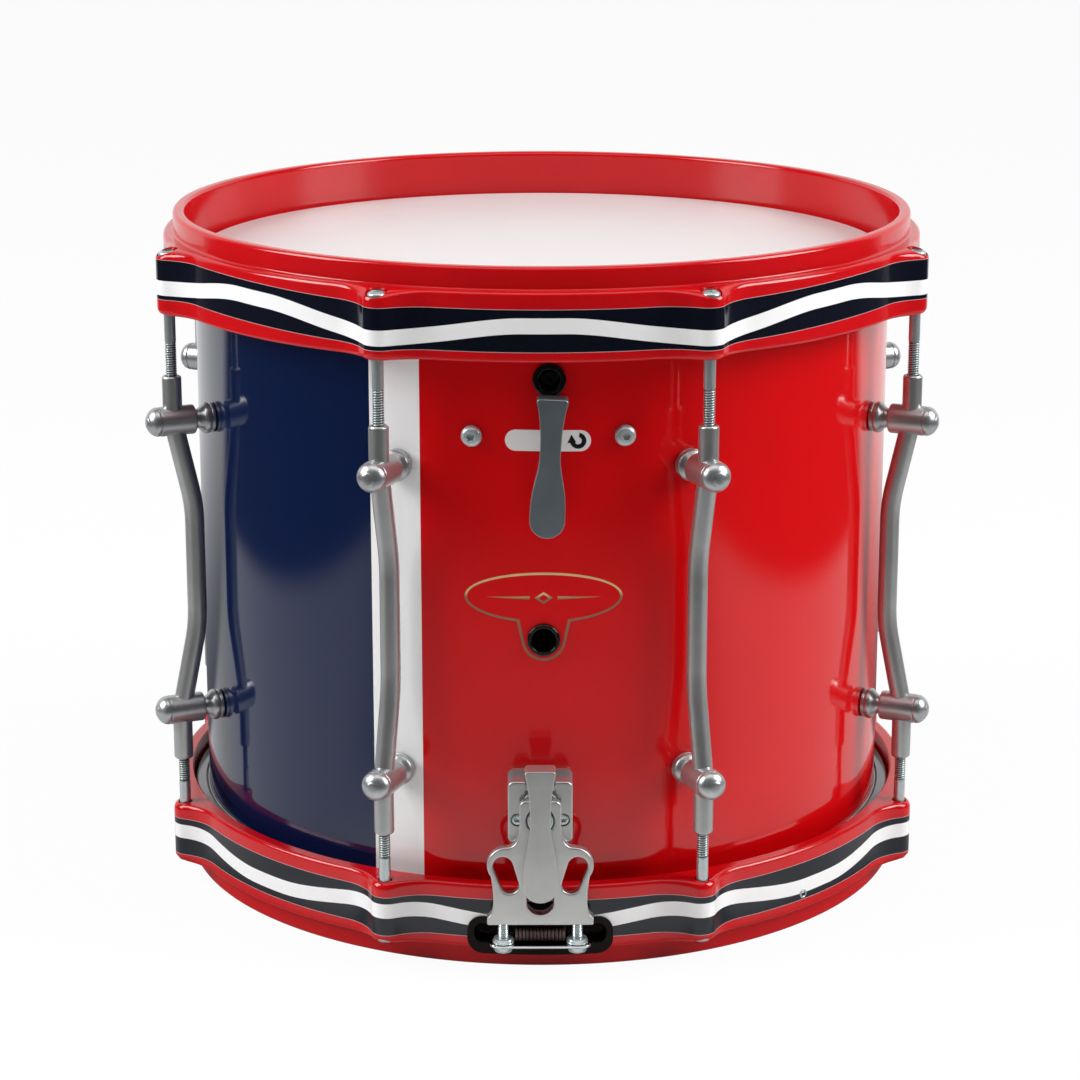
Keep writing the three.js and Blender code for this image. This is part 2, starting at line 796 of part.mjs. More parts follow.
// A turned standoff with its barrel and domed cap, along the radius
function standoff(height) {
  const profile = [[0, shellSeat]];
  let reach = shellSeat;
  const step = (length, radius) => {
    reach += length;
    profile.push([radius, reach]);
  };
  step(0, flangeRadius);
  step(flangeThickness, flangeRadius);
  step(coneLength, neckRadius);
  step(neckLength, neckRadius);
  step(0, barrelRadius - barrelChamfer);
  step(barrelChamfer, barrelRadius);
  step(barrelLength - barrelChamfer, barrelRadius);
  step(capLength, capTipRadius);
  profile.push([0, reach]);
  return solid(facingFront(turned(profile, barrelSides)).translate(0, 0, height));
}

function lugGeometry() {
  const boreRadius = rodRadius + runningGap;
  const upperBore = bar(boreRadius, sleeveTop - rodBoreDepth, sleeveTop + cutOverrun);
  const lowerBore = bar(boreRadius, sleeveBottom - cutOverrun, sleeveBottom + rodBoreDepth);
  const bores = [upperBore, lowerBore].map((tool) => solid(tool.translate(0, -rodCircleRadius, 0)));
  const post = join(solid(postTube()), standoff(upperBarrelHeight), standoff(lowerBarrelHeight));
  return geometryOf(cut(post, ...bores));
}

// Vent grommet and key bush

function grommetGeometry(boreRadius, inner) {
  const seat = shellSeat;
  const face = seat + grommetFlangeThickness;
  return geometryOf(solid(facingFront(turnedRing([
    [boreRadius, inner],
    [grommetBarrelRadius, inner],
    [grommetBarrelRadius, seat],
    [grommetFlangeRadius, seat],
    [grommetFlangeRadius, face - grommetRound],
    [grommetFlangeRadius - grommetRound, face],
    [boreRadius + grommetRound, face],
    [boreRadius, face - grommetRound],
  ], grommetSides))));
}

// Levers

// The lever seen from the front, with its top edge at zero and its paddle hanging down
function leverShape(length) {
  const half = leverWidth / 2;
  const waist = leverWaist / 2;
  const paddle = leverPaddle / 2;
  const waistDrop = length * leverWaistShare;
  const paddleDrop = length * leverPaddleShare;
  const ease = waistDrop / 2;
  const shape = new THREE.Shape();
  shape.moveTo(half - leverCorner, 0);
  shape.absarc(half - leverCorner, -leverCorner, leverCorner, Math.PI / 2, 0, true);
  shape.bezierCurveTo(half, -leverCorner - ease, waist, -waistDrop + ease, waist, -waistDrop);
  shape.bezierCurveTo(waist, -waistDrop - ease, paddle, -paddleDrop + ease / 2, paddle, -paddleDrop);
  shape.lineTo(paddle, -length + paddle);
  shape.absarc(0, -length + paddle, paddle, 0, -Math.PI, true);
  shape.lineTo(-paddle, -paddleDrop);
  shape.bezierCurveTo(-paddle, -paddleDrop + ease / 2, -waist, -waistDrop - ease, -waist, -waistDrop);
  shape.bezierCurveTo(-waist, -waistDrop + ease, -half, -leverCorner - ease, -half, -leverCorner);
  shape.absarc(-half + leverCorner, -leverCorner, leverCorner, Math.PI, Math.PI / 2, true);
  return shape;
}

// A lever with a deep head, from its face back
function leverSolid({ length, face, blade, head, headHeight }) {
  const plate = solid(frontPlate(leverShape(length), face - blade, face, leverBevel));
  const deep = solid(frontPlate(leverShape(length), face - head, face, leverBevel));
  const back = face - head - cutOverrun;
  const keep = frontBlock(leverPaddle, back, face - blade / 2, -headHeight, cutOverrun);
  return join(plate, deep.intersect(solid(keep)));
}

// Upper throw-off, each piece drawn about the pivot's height

function upperLeverGeometry() {
  const lever = leverSolid({
    length: upperLeverLength,
    face: upperLeverFront,
    blade: upperLeverBlade,
    head: upperLeverFront - upperLeverBack,
    headHeight: upperLeverHeadHeight,
  });
  const seat = spoke(shaftRadius + seatGap, upperLeverBack - cutOverrun, upperLeverBack + shaftSeatDepth);
  const seated = cut(lever, solid(seat.translate(0, 0, -upperLeverPivotDrop)));
  return geometryOf(seated).translate(0, 0, upperLeverPivotDrop);
}

function upperShaftGeometry() {
  const end = upperLeverBack + shaftSeatDepth - seatGap;
  const shaft = spoke(shaftRadius, camPlace - camLength / 2 - shaftTail, end);
  const disc = spoke(camRadius, camPlace - camLength / 2, camPlace + camLength / 2, grommetSides);
  const swing = camThrow * Math.SQRT1_2;
  return geometryOf(join(solid(shaft), solid(disc.translate(-swing, 0, swing))));
}

// Frame inside the shell

function insideShell(body) {
  const room = turned([
    [0, footBottom - cutOverrun],
    [shellInnerRadius - seatGap, footBottom - cutOverrun],
    [shellInnerRadius - seatGap, drumHeight],
    [0, drumHeight],
  ]);
  return body.intersect(solid(room));
}

// Angles of the screws that hold the frame: two at the front and one at the rear
function frameScrewAngles() {
  const left = Math.asin((frameScrewOffset - frameScrewSpacing / 2) / shellRadius);
  return [left, frameScrewTurn, Math.PI];
}

function upperFrameGeometry() {
  const edge = shellInnerRadius;
  const foot = (width, top) => frontBlock(width, edge - footThickness, edge, footBottom, top);
  const rails = [-1, 1].map((side) => {
    const rail = block(railWidth, 2 * edge, railHeight);
    return solid(rail.translate(side * railSpacing / 2, 0, railBottom + railHeight / 2));
  });
  const guides = [-1, 1].flatMap((side) => [-1, 1].map((end) => {
    const post = bar(guideRadius, railBottom, guideTop);
    return solid(post.translate(side * railSpacing / 2, end * guidePlace, 0));
  }));
  const feet = [
    solid(foot(frontFootWidth, frontFootTop)),
    solid(foot(rearFootWidth, rearFootTop).rotateZ(Math.PI)),
  ];
  const hole = (radius, end, height, offset) => {
    return spoke(radius, end, edge + cutOverrun).translate(offset, 0, height);
  };
  const through = edge - footThickness - cutOverrun;
  const tapped = hole(frameScrewShankRadius + seatGap, frameScrewEnd, frameScrewHeight, 0);
  const holes = [
    hole(shaftRadius + runningGap, through, upperPivotHeight, upperLeverOffset),
    hole(keyScrewShankRadius + runningGap, through, bushHeight, bushOffset),
    ...frameScrewAngles().map((angle) => tapped.clone().rotateZ(angle)),
  ].map(solid);
  return geometryOf(cut(insideShell(join(...feet, ...rails, ...guides)), ...holes));
}

// Bridge that carries the upper snares and is lifted by the cam
function bridgeGeometry() {
  const snareSeat = filmFace - filmThickness - 2 * seatGap - snareThickness;
  const endHeight = snareSeat - seatGap - bridgeBottom;
  const ends = [-1, 1].map((end) => {
    const beam = block(bridgeEndWidth, bridgeEndDepth, endHeight);
    return solid(beam.translate(0, end * guidePlace, bridgeBottom + endHeight / 2));
  });
  const sides = [-1, 1].map((side) => {
    const beam = block(bridgeSideWidth, 2 * guidePlace, bridgeSideHeight);
    return solid(beam.translate(side * bridgeSideSpacing / 2, 0, bridgeBottom + bridgeSideHeight / 2));
  });
  const camTop = upperPivotHeight + camThrow * Math.SQRT1_2 + camRadius + seatGap;
  const reach = bridgeSideSpacing + bridgeSideWidth;
  const sideTop = bridgeBottom + bridgeSideHeight;
  const half = followerDepth / 2;
  const follower = solid(frontBlock(reach, camPlace - half, camPlace + half, camTop, sideTop));
  const holes = [-1, 1].flatMap((side) => [-1, 1].map((end) => {
    const tool = bar(guideRadius + runningGap, bridgeBottom - cutOverrun, filmFace);
    return solid(tool.translate(side * railSpacing / 2, end * guidePlace, 0));
  }));
  return geometryOf(cut(join(...ends, ...sides, follower), ...holes));
}

function upperSnareGeometry() {
  const top = filmFace - filmThickness - 2 * seatGap;
  const mat = block(upperSnareWidth, 2 * guidePlace, snareThickness);
  return mat.translate(0, 0, top - snareThickness / 2);
}

function keyScrewGeometry() {
  const headEnd = shellRadius - keyScrewSetback;
  const seat = headEnd - keyScrewHeadLength;
  const profile = [
    [0, shellInnerRadius - footThickness],
    [keyScrewShankRadius, shellInnerRadius - footThickness],
    [keyScrewShankRadius, seat],
    [keyScrewHeadRadius, seat],
    [keyScrewHeadRadius, headEnd],
    [0, headEnd],
  ];
  const socketEnd = headEnd - keyScrewHeadLength / 2;
  const socket = spoke(keyScrewSocketRadius, socketEnd, headEnd + cutOverrun, socketSides);
  return geometryOf(cut(solid(facingFront(turned(profile, screwSides))), solid(socket)));
}

// A screw with a domed head, drawn along Z with the underside of its head at zero
function screwGeometry({ headRadius, headHeight, crown, shankRadius, length, socketRadius, socketDepth }) {
  const profile = [
    [0, -length],
    [shankRadius, -length],
    [shankRadius, 0],
    [headRadius, 0],
    [headRadius, headHeight - crown],
    [headRadius - crown, headHeight],
    [0, headHeight],
  ];
  const socket = bar(socketRadius, headHeight - socketDepth, headHeight + cutOverrun, socketSides);
  return geometryOf(cut(solid(turned(profile, screwSides)), solid(socket)));
}

function frameScrewGeometry() {
  const screw = screwGeometry({
    headRadius: frameScrewHeadRadius,
    headHeight: frameScrewHeadHeight,
    crown: frameScrewHeadHeight / 2,
    shankRadius: frameScrewShankRadius,
    length: shellSeat - frameScrewEnd - seatGap,
    socketRadius: frameScrewSocketRadius,
    socketDepth: frameScrewSocketDepth,
  });
  return facingFront(screw).translate(0, -shellSeat, 0);
}

// Strainer

function bodyScrewOffsets() {
  return [-1, 1].map((side) => strainerOffset + side * bodyScrewSpacing / 2);
}

function strainerBodyGeometry() {
  const shape = roundedRectangle(strainerWidth, strainerBottom, strainerTop, strainerCorner);
  const housing = solid(frontPlate(shape, shellSeat, strainerFace, carriageBevel));
  const channelBack = shellSeat + strainerBackWall;
  const open = strainerFace + cutOverrun;
  const low = strainerBottom - cutOverrun;
  const high = strainerTop + cutOverrun;
  const channel = frontBlock(leverClearWidth, channelBack, open, low, high);
  const grooveFloor = strainerTop - strainerGrooveDepth;
  const groove = frontBlock(
    strainerWidth + cutOverrun,
    channelBack,
    strainerFace - strainerFrontWall,
    grooveFloor,
    high,
  );
  const pocketBottom = strainerPocketTop - strainerPocketHeight;
  const pocket = frontPlate(
    roundedRectangle(strainerPocketWidth, pocketBottom, strainerPocketTop, strainerCorner),
    strainerFace - strainerPocketDepth,
    open,
  );
  const pinHole = pivotBar(lowerPivotRadius + seatGap, strainerWidth + cutOverrun);
  const half = bodyScrewSpacing / 2;
  const screwHoles = [-1, 1].flatMap((side) => [
    spoke(bodyScrewShankRadius + seatGap, shellRadius - cutOverrun, open),
    spoke(bodyScrewHeadRadius + seatGap, strainerFace - bodyScrewHeadHeight - seatGap, open),
  ].map((tool) => solid(tool.translate(side * half, 0, bodyScrewHeight))));
  const tools = [channel, groove, pocket, pinHole].map((tool) => solid(tool));
  return geometryOf(cut(housing, ...tools, ...screwHoles));
}

// A bar along X through the lower lever's pivot
function pivotBar(radius, length) {
  const pin = new THREE.CylinderGeometry(radius, radius, length, screwSides).rotateZ(Math.PI / 2);
  return pin.translate(0, -lowerPivotPlace, lowerPivotHeight);
}

function lowerLeverGeometry() {
  const lever = leverSolid({
    length: lowerLeverTop - carriageFootTop - lowerLeverTipGap,
    face: lowerLeverFace,
    blade: lowerLeverBlade,
    head: lowerLeverFace - lowerPivotPlace + lowerLeverHeel,
    headHeight: lowerLeverTop - carriageTop - lowerLeverHeadGap,
  });
  const raised = geometryOf(lever).translate(0, 0, lowerLeverTop);
  return geometryOf(cut(solid(raised), solid(pivotBar(lowerPivotRadius + seatGap, leverPaddle))));
}

function slideBlockGeometry() {
  const faceAt = carriageBack - seatGap;
  const low = slideBlockTop - slideBlockHeight;
  const core = frontBlock(leverWidth, faceAt - slideBlockDepth, faceAt, low, slideBlockTop);
  const holeEnd = faceAt - centreScrewLength + seatGap;
  const hole = spoke(centreScrewShankRadius + seatGap, holeEnd, faceAt + cutOverrun);
  return geometryOf(cut(solid(core), solid(hole.translate(0, 0, centreScrewHeight))));
}

// The carriage's outline: a narrow tongue, two round ears and a flared foot
function carriageShape() {
  const tongue = tongueWidth / 2;
  const ear = earWidth / 2;
  const waist = ear - waistInset;
  const waistHeight = earHeight - waistDrop;
  const earTurn = THREE.MathUtils.degToRad(earTurnDegrees);
  const earEndX = earCentre + earRadius * Math.cos(earTurn);
  const earEndHeight = earHeight - earRadius * Math.sin(earTurn);
  const neck = earHeight + neckRise;
  const shape = new THREE.Shape();
  shape.moveTo(-tongue + tongueCorner, carriageTop);
  shape.lineTo(tongue - tongueCorner, carriageTop);
  shape.absarc(tongue - tongueCorner, carriageTop - tongueCorner, tongueCorner, Math.PI / 2, 0, true);
  shape.lineTo(tongue, neck);
  shape.quadraticCurveTo(tongue, earHeight + earRadius, earCentre, earHeight + earRadius);
  shape.absarc(earCentre, earHeight, earRadius, Math.PI / 2, -earTurn, true);
  shape.quadraticCurveTo(waist, waistHeight, waist, carriageFootTop + tongueCorner);
  shape.quadraticCurveTo(waist, carriageBottom + tongueCorner, ear, carriageBottom);
  shape.lineTo(-ear, carriageBottom);
  shape.quadraticCurveTo(-waist, carriageBottom + tongueCorner, -waist, carriageFootTop + tongueCorner);
  shape.quadraticCurveTo(-waist, waistHeight, -earEndX, earEndHeight);
  shape.absarc(-earCentre, earHeight, earRadius, earTurn - Math.PI, Math.PI / 2, true);
  shape.quadraticCurveTo(-tongue, earHeight + earRadius, -tongue, neck);
  shape.lineTo(-tongue, carriageTop - tongueCorner);
  shape.absarc(-tongue + tongueCorner, carriageTop - tongueCorner, tongueCorner, Math.PI, Math.PI / 2, true);
  return shape;
}

// A finger hole: two circles of different size joined by their common tangents
function fingerHole(side) {
  const top = new THREE.Vector2(side * fingerHoleTopSpread, fingerHoleTopHeight);
  const low = new THREE.Vector2(side * fingerHoleBottomSpread, fingerHoleBottomHeight);
  const along = low.clone().sub(top);
  const heading = Math.atan2(along.y, along.x);
  const spread = Math.acos((fingerHoleTopRadius - fingerHoleBottomRadius) / along.length());
  const shape = new THREE.Shape();
  shape.absarc(top.x, top.y, fingerHoleTopRadius, heading + spread, heading - spread + 2 * Math.PI, false);
  shape.absarc(low.x, low.y, fingerHoleBottomRadius, heading - spread, heading + spread, false);
  return shape;
}

function adjusterHoles(bottom, top) {
  return [-1, 1].map((side) => {
    const tool = bar(adjusterRadius + runningGap, bottom, top);
    return solid(tool.translate(side * adjusterSpacing / 2, -adjusterPlace, 0));
  });
}

// The plate that hangs in front of the hoop and holds the snare clamp
function carriagePlate() {
  const plate = solid(frontPlate(carriageShape(), carriageBack, carriageFace, carriageBevel));
  const footBack = carriageBack - carriageFootSetback;
  const footFace = footBack + carriageFootDepth;
  const depth = solid(frontPlate(carriageShape(), footBack, footFace, carriageBevel));
  const low = carriageBottom - cutOverrun;
  const [inner, outer] = [footBack - cutOverrun, footFace + cutOverrun];
  const keep = frontBlock(earWidth + cutOverrun, inner, outer, low, carriageFootTop);
  const bores = adjusterHoles(low, carriageBottom + adjusterGrip + seatGap);
  return cut(join(plate, depth.intersect(solid(keep))), ...bores);
}

function carriageGeometry() {
  const slotCorner = fingerSlotWidth / 2 - seatGap;
  const slotShape = roundedRectangle(fingerSlotWidth, fingerSlotBottom, fingerSlotTop, slotCorner);
  const inner = carriageBack - carriageFootSetback - cutOverrun;
  const outer = carriageFace + carriageFootDepth;
  const openings = [slotShape, fingerHole(-1), fingerHole(1)].map((shape) => frontPlate(shape, inner, outer));
  const seat = carriageFace - centreScrewHeadHeight - 2 * seatGap;
  const screwHoles = [
    spoke(centreScrewShankRadius + seatGap, inner, outer),
    spoke(centreScrewHeadRadius + seatGap, seat, outer),
  ].map((hole) => hole.translate(0, 0, centreScrewHeight));
  return geometryOf(cut(carriagePlate(), ...[...openings, ...screwHoles].map(solid)));
}

function centreScrewGeometry() {
  const screw = screwGeometry({
    headRadius: centreScrewHeadRadius,
    headHeight: centreScrewHeadHeight,
    crown: centreScrewHeadHeight * crownShare,
    shankRadius: centreScrewShankRadius,
    length: centreScrewLength,
    socketRadius: centreScrewSocketRadius,
    socketDepth: centreScrewSocketDepth,
  });
  const seat = carriageFace - centreScrewHeadHeight - seatGap;
  return facingFront(screw).translate(0, -seat, centreScrewHeight);
}

function bodyScrewGeometry() {
  const screw = screwGeometry({
    headRadius: bodyScrewHeadRadius,
    headHeight: bodyScrewHeadHeight,
    crown: bodyScrewHeadHeight * crownShare,
    shankRadius: bodyScrewShankRadius,
    length: strainerDepth + shellWall - bodyScrewHeadHeight,
    socketRadius: bodyScrewSocketRadius,
    socketDepth: bodyScrewSocketDepth,
  });
  return facingFront(screw).translate(0, -(strainerFace - bodyScrewHeadHeight), bodyScrewHeight);
}

// A clamp screw: its head below the clamp plate, a collar above it and a thread up into the foot
function adjusterGeometry() {
  const collarBottom = clampTop + seatGap;
  const collarTop = collarBottom + adjusterWasherHeight;
  const headTop = clampTop - clampThickness - seatGap;
  const headBottom = headTop - adjusterHeadHeight;
  const profile = [
    [0, headBottom],
    [adjusterHeadRadius - adjusterHeadCrown, headBottom],
    [adjusterHeadRadius, headBottom + adjusterHeadCrown],
    [adjusterHeadRadius, headTop],
    [adjusterRadius, headTop],
    [adjusterRadius, collarBottom],
    [adjusterWasherRadius, collarBottom],
    [adjusterWasherRadius, collarTop],
    [adjusterRadius, collarTop],
    [adjusterRadius, carriageBottom + adjusterGrip],
    [0, carriageBottom + adjusterGrip],
  ];
  const socketTop = headBottom + adjusterSocketDepth;
  const socket = bar(adjusterSocketRadius, headBottom - cutOverrun, socketTop, socketSides);
  const screw = cut(solid(turned(profile, screwSides)), solid(socket));
  return geometryOf(screw).translate(0, -adjusterPlace, 0);
}

function clampPlateGeometry() {
  const corner = clampDepth * clampCornerShare;
  const outline = roundedRectangle(clampWidth, -clampDepth / 2, clampDepth / 2, corner);
  const plate = new THREE.ExtrudeGeometry(outline, {
    depth: clampThickness,
    bevelEnabled: false,
    curveSegments: curveSteps,
  });
  const placed = solid(plate.translate(0, -adjusterPlace, clampTop - clampThickness));
  const holes = adjusterHoles(clampTop - clampThickness - cutOverrun, clampTop + cutOverrun);
  return geometryOf(cut(placed, ...holes));
}

// Rear butt: the same plate as the carriage on a fixed block, in one casting
function buttGeometry() {
  const shape = roundedRectangle(strainerWidth, strainerBottom, strainerBottom + buttHeight, strainerCorner);
  const housing = solid(frontPlate(shape, shellSeat, carriageFace, carriageBevel));
  const inner = shellSeat - cutOverrun;
  const outer = carriageFace + carriageFootDepth;
  const holes = [fingerHole(-1), fingerHole(1)].map((hole) => solid(frontPlate(hole, inner, outer)));
  return geometryOf(join(housing, cut(carriagePlate(), ...holes)));
}

// Lower snares: a flat mat under the head with a strap out through each gate
function lowerSnareGeometry() {
  const matBottom = snareFace - snareThickness;
  const strapBottom = clampTop + seatGap;
  const end = adjusterPlace + lowerSnareReach;
  const side = [
    [lowerSnareSettle, snareFace],
    [lowerSnareStep, strapBottom + snareThickness],
    [end, strapBottom + snareThickness],
    [end, strapBottom],
    [lowerSnareStep, strapBottom],
    [lowerSnareSettle, matBottom],
  ];
  const mirrored = side.map(([reach, height]) => [-reach, height]).reverse();
  const points = [...side, ...mirrored].map(([reach, height]) => new THREE.Vector2(reach, height));
  const shape = new THREE.Shape(points);
  const mat = new THREE.ExtrudeGeometry(shape, { depth: lowerSnareWidth, bevelEnabled: false });
  mat.translate(0, 0, -lowerSnareWidth / 2);
  return mat.rotateX(Math.PI / 2).rotateZ(Math.PI / 2).translate(front.offset, 0, 0);
}

// Assembly

const drum = new THREE.Group();

function place(name, geometry, material, parent = drum) {
  const mesh = new THREE.Mesh(geometry, material);
  mesh.name = name;
  parent.add(mesh);
  return mesh;
}

function turnedGroup(angle, parent = drum) {
  const group = new THREE.Group();
  group.rotation.z = angle;
  parent.add(group);
  return group;
}

// The lower side is the upper side turned over about the X axis
const lowerSide = new THREE.Group();
lowerSide.rotation.x = Math.PI;
lowerSide.position.z = drumHeight;
drum.add(lowerSide);

place("shell", shellGeometry(), redLacquer);
const headGeometry = geometryOf(solid(turned(filmProfile())));
const fleshHoopGeometry = geometryOf(solid(turnedRing(fleshHoopProfile())));
place("batter_head", headGeometry, whiteFilm);
place("batter_flesh_hoop", fleshHoopGeometry, aluminium);
place("batter_hoop", geometryOf(hoopSolid()), redHoop);
place("snare_head", headGeometry, whiteFilm, lowerSide);
place("snare_flesh_hoop", fleshHoopGeometry, aluminium, lowerSide);
place("snare_hoop", geometryOf(lowerHoopSolid()), redHoop);

const lugShape = lugGeometry();
const batterRod = tensionRodGeometry(sleeveTop, batterThreadLength);
const snareRod = tensionRodGeometry(drumHeight - sleeveBottom, snareThreadLength);
stationAngles().forEach((angle, k) => {
  const station = turnedGroup(angle);
  place(`lug_${k + 1}`, lugShape, satinPost, station);
  place(`batter_rod_${k + 1}`, batterRod, zincSteel, station);
  const under = turnedGroup(Math.PI - angle, lowerSide);
  place(`snare_rod_${k + 1}`, snareRod, zincSteel, under);
});

const ventGrommet = grommetGeometry(ventBoreRadius, shellInnerRadius - grommetFlangeThickness);
const keyBush = grommetGeometry(bushBoreRadius, shellInnerRadius + seatGap);
place("vent_grommet", ventGrommet, blackPlastic).position.z = ventHeight;
place("key_bush", keyBush, blackPlastic).position.set(bushOffset, 0, bushHeight);
place("upper_key_screw", keyScrewGeometry(), zincSteel).position.set(bushOffset, 0, bushHeight);

const upperThrow = new THREE.Group();
upperThrow.position.set(upperLeverOffset, 0, upperPivotHeight);
drum.add(upperThrow);
const upperLever = place("upper_lever", upperLeverGeometry(), castMetal, upperThrow);
upperLever.rotation.y = THREE.MathUtils.degToRad(upperLeverTiltDegrees);
place("upper_lever_shaft", upperShaftGeometry(), zincSteel, upperThrow);

place("upper_frame", upperFrameGeometry(), aluminium);
place("upper_bridge", bridgeGeometry(), aluminium);
place("upper_snares", upperSnareGeometry(), snareCord);
const frameScrew = frameScrewGeometry();
const frameScrewNames = ["frame_screw_left", "frame_screw_right", "frame_screw_rear"];
frameScrewAngles().forEach((angle, k) => {
  place(frameScrewNames[k], frameScrew, zincSteel, turnedGroup(angle)).position.z = frameScrewHeight;
});

const strainer = new THREE.Group();
strainer.position.x = front.offset;
drum.add(strainer);
place("strainer_body", strainerBodyGeometry(), castMetal, strainer);
place("strainer_pivot_pin", pivotBar(lowerPivotRadius, strainerWidth - 2 * seatGap), zincSteel, strainer);
place("strainer_lever", lowerLeverGeometry(), castMetal, strainer);
place("strainer_slide_block", slideBlockGeometry(), castMetal, strainer);
place("strainer_carriage", carriageGeometry(), castMetal, strainer);
place("strainer_centre_screw", centreScrewGeometry(), zincSteel, strainer);
const bodyScrew = bodyScrewGeometry();
place("strainer_screw_left", bodyScrew, zincSteel, strainer).position.x = -bodyScrewSpacing / 2;
place("strainer_screw_right", bodyScrew, zincSteel, strainer).position.x = bodyScrewSpacing / 2;

const adjuster = adjusterGeometry();
const clampPlate = clampPlateGeometry();
function placeClamp(prefix, parent) {
  place(`${prefix}_clamp_plate`, clampPlate, zincSteel, parent);
  place(`${prefix}_adjuster_left`, adjuster, zincSteel, parent).position.x = -adjusterSpacing / 2;
  place(`${prefix}_adjuster_right`, adjuster, zincSteel, parent).position.x = adjusterSpacing / 2;
}
placeClamp("snare", strainer);

const butt = turnedGroup(rear.turn);
butt.position.x = front.offset;
place("butt_bracket", buttGeometry(), castMetal, butt);
placeClamp("butt", butt);

place("front_gate_liner", geometryOf(gateLinerSolid(front)), blackPlastic);
place("rear_gate_liner", geometryOf(gateLinerSolid(rear)), blackPlastic);
place("lower_snares", lowerSnareGeometry(), snareCord);

export default drum;
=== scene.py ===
# The marching snare drum's looks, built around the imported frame. Sizes below are in millimetres.

import math

import bpy
import bmesh
from mathutils import Matrix, Vector


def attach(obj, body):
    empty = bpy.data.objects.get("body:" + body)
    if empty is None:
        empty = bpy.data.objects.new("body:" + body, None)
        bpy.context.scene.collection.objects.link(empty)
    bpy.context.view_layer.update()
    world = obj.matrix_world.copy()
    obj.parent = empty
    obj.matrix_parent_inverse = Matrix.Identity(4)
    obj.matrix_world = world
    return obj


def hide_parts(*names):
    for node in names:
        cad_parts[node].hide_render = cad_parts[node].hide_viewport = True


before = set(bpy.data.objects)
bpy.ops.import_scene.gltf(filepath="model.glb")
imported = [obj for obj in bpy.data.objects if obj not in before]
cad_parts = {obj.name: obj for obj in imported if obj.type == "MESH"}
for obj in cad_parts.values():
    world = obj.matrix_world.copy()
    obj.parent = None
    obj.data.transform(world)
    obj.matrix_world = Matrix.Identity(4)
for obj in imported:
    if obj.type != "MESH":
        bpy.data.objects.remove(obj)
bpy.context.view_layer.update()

MM = 0.001

# Drum
HEIGHT = 339
STATIONS = 8
STATION = 360 / STATIONS
SHELL_RADIUS, SHELL_WALL = 177, 7
SHELL_INNER = SHELL_RADIUS - SHELL_WALL
SEAT_GAP = 0.3
SHELL_SEAT = SHELL_RADIUS + SEAT_GAP
SHELL_LOW, SHELL_HIGH = 23.3, 315.7
ROUND = 192
OVERRUN = 3

# Where each white stripe starts and ends, in degrees from the front towards +X
WHITE_STRIPE = (-27.3, -18.9)
REAR_STRIPE = (153.3, 161.7)

# Painted colours, 0 to 255
RED_LACQUER = (203, 5, 11)
RED_ENAMEL = (194, 7, 16)
NAVY = (7, 23, 60)
BAND_NAVY = (12, 16, 28)
FILM_EDGE = (196, 170, 172)
WHITE = (242, 242, 242)


def linear(colour, alpha=1.0):
    """An 0 to 255 screen colour as the linear colour that Blender's sockets take."""
    def channel(value):
        value /= 255
        return value / 12.92 if value <= 0.04045 else ((value + 0.055) / 1.055) ** 2.4
    return (*[channel(value) for value in colour], alpha)


# Node helpers

def new_group(name, inputs, outputs):
    """A shader node group with named sockets: (name, kind, default) in, (name, kind) out."""
    group = bpy.data.node_groups.new(name, "ShaderNodeTree")
    kinds = {"value": "NodeSocketFloat", "colour": "NodeSocketColor", "vector": "NodeSocketVector"}
    for label, kind, default in inputs:
        socket = group.interface.new_socket(name=label, in_out="INPUT", socket_type=kinds[kind])
        socket.default_value = default
    for label, kind in outputs:
        group.interface.new_socket(name=label, in_out="OUTPUT", socket_type=kinds[kind])
    return group, group.nodes.new("NodeGroupInput"), group.nodes.new("NodeGroupOutput")


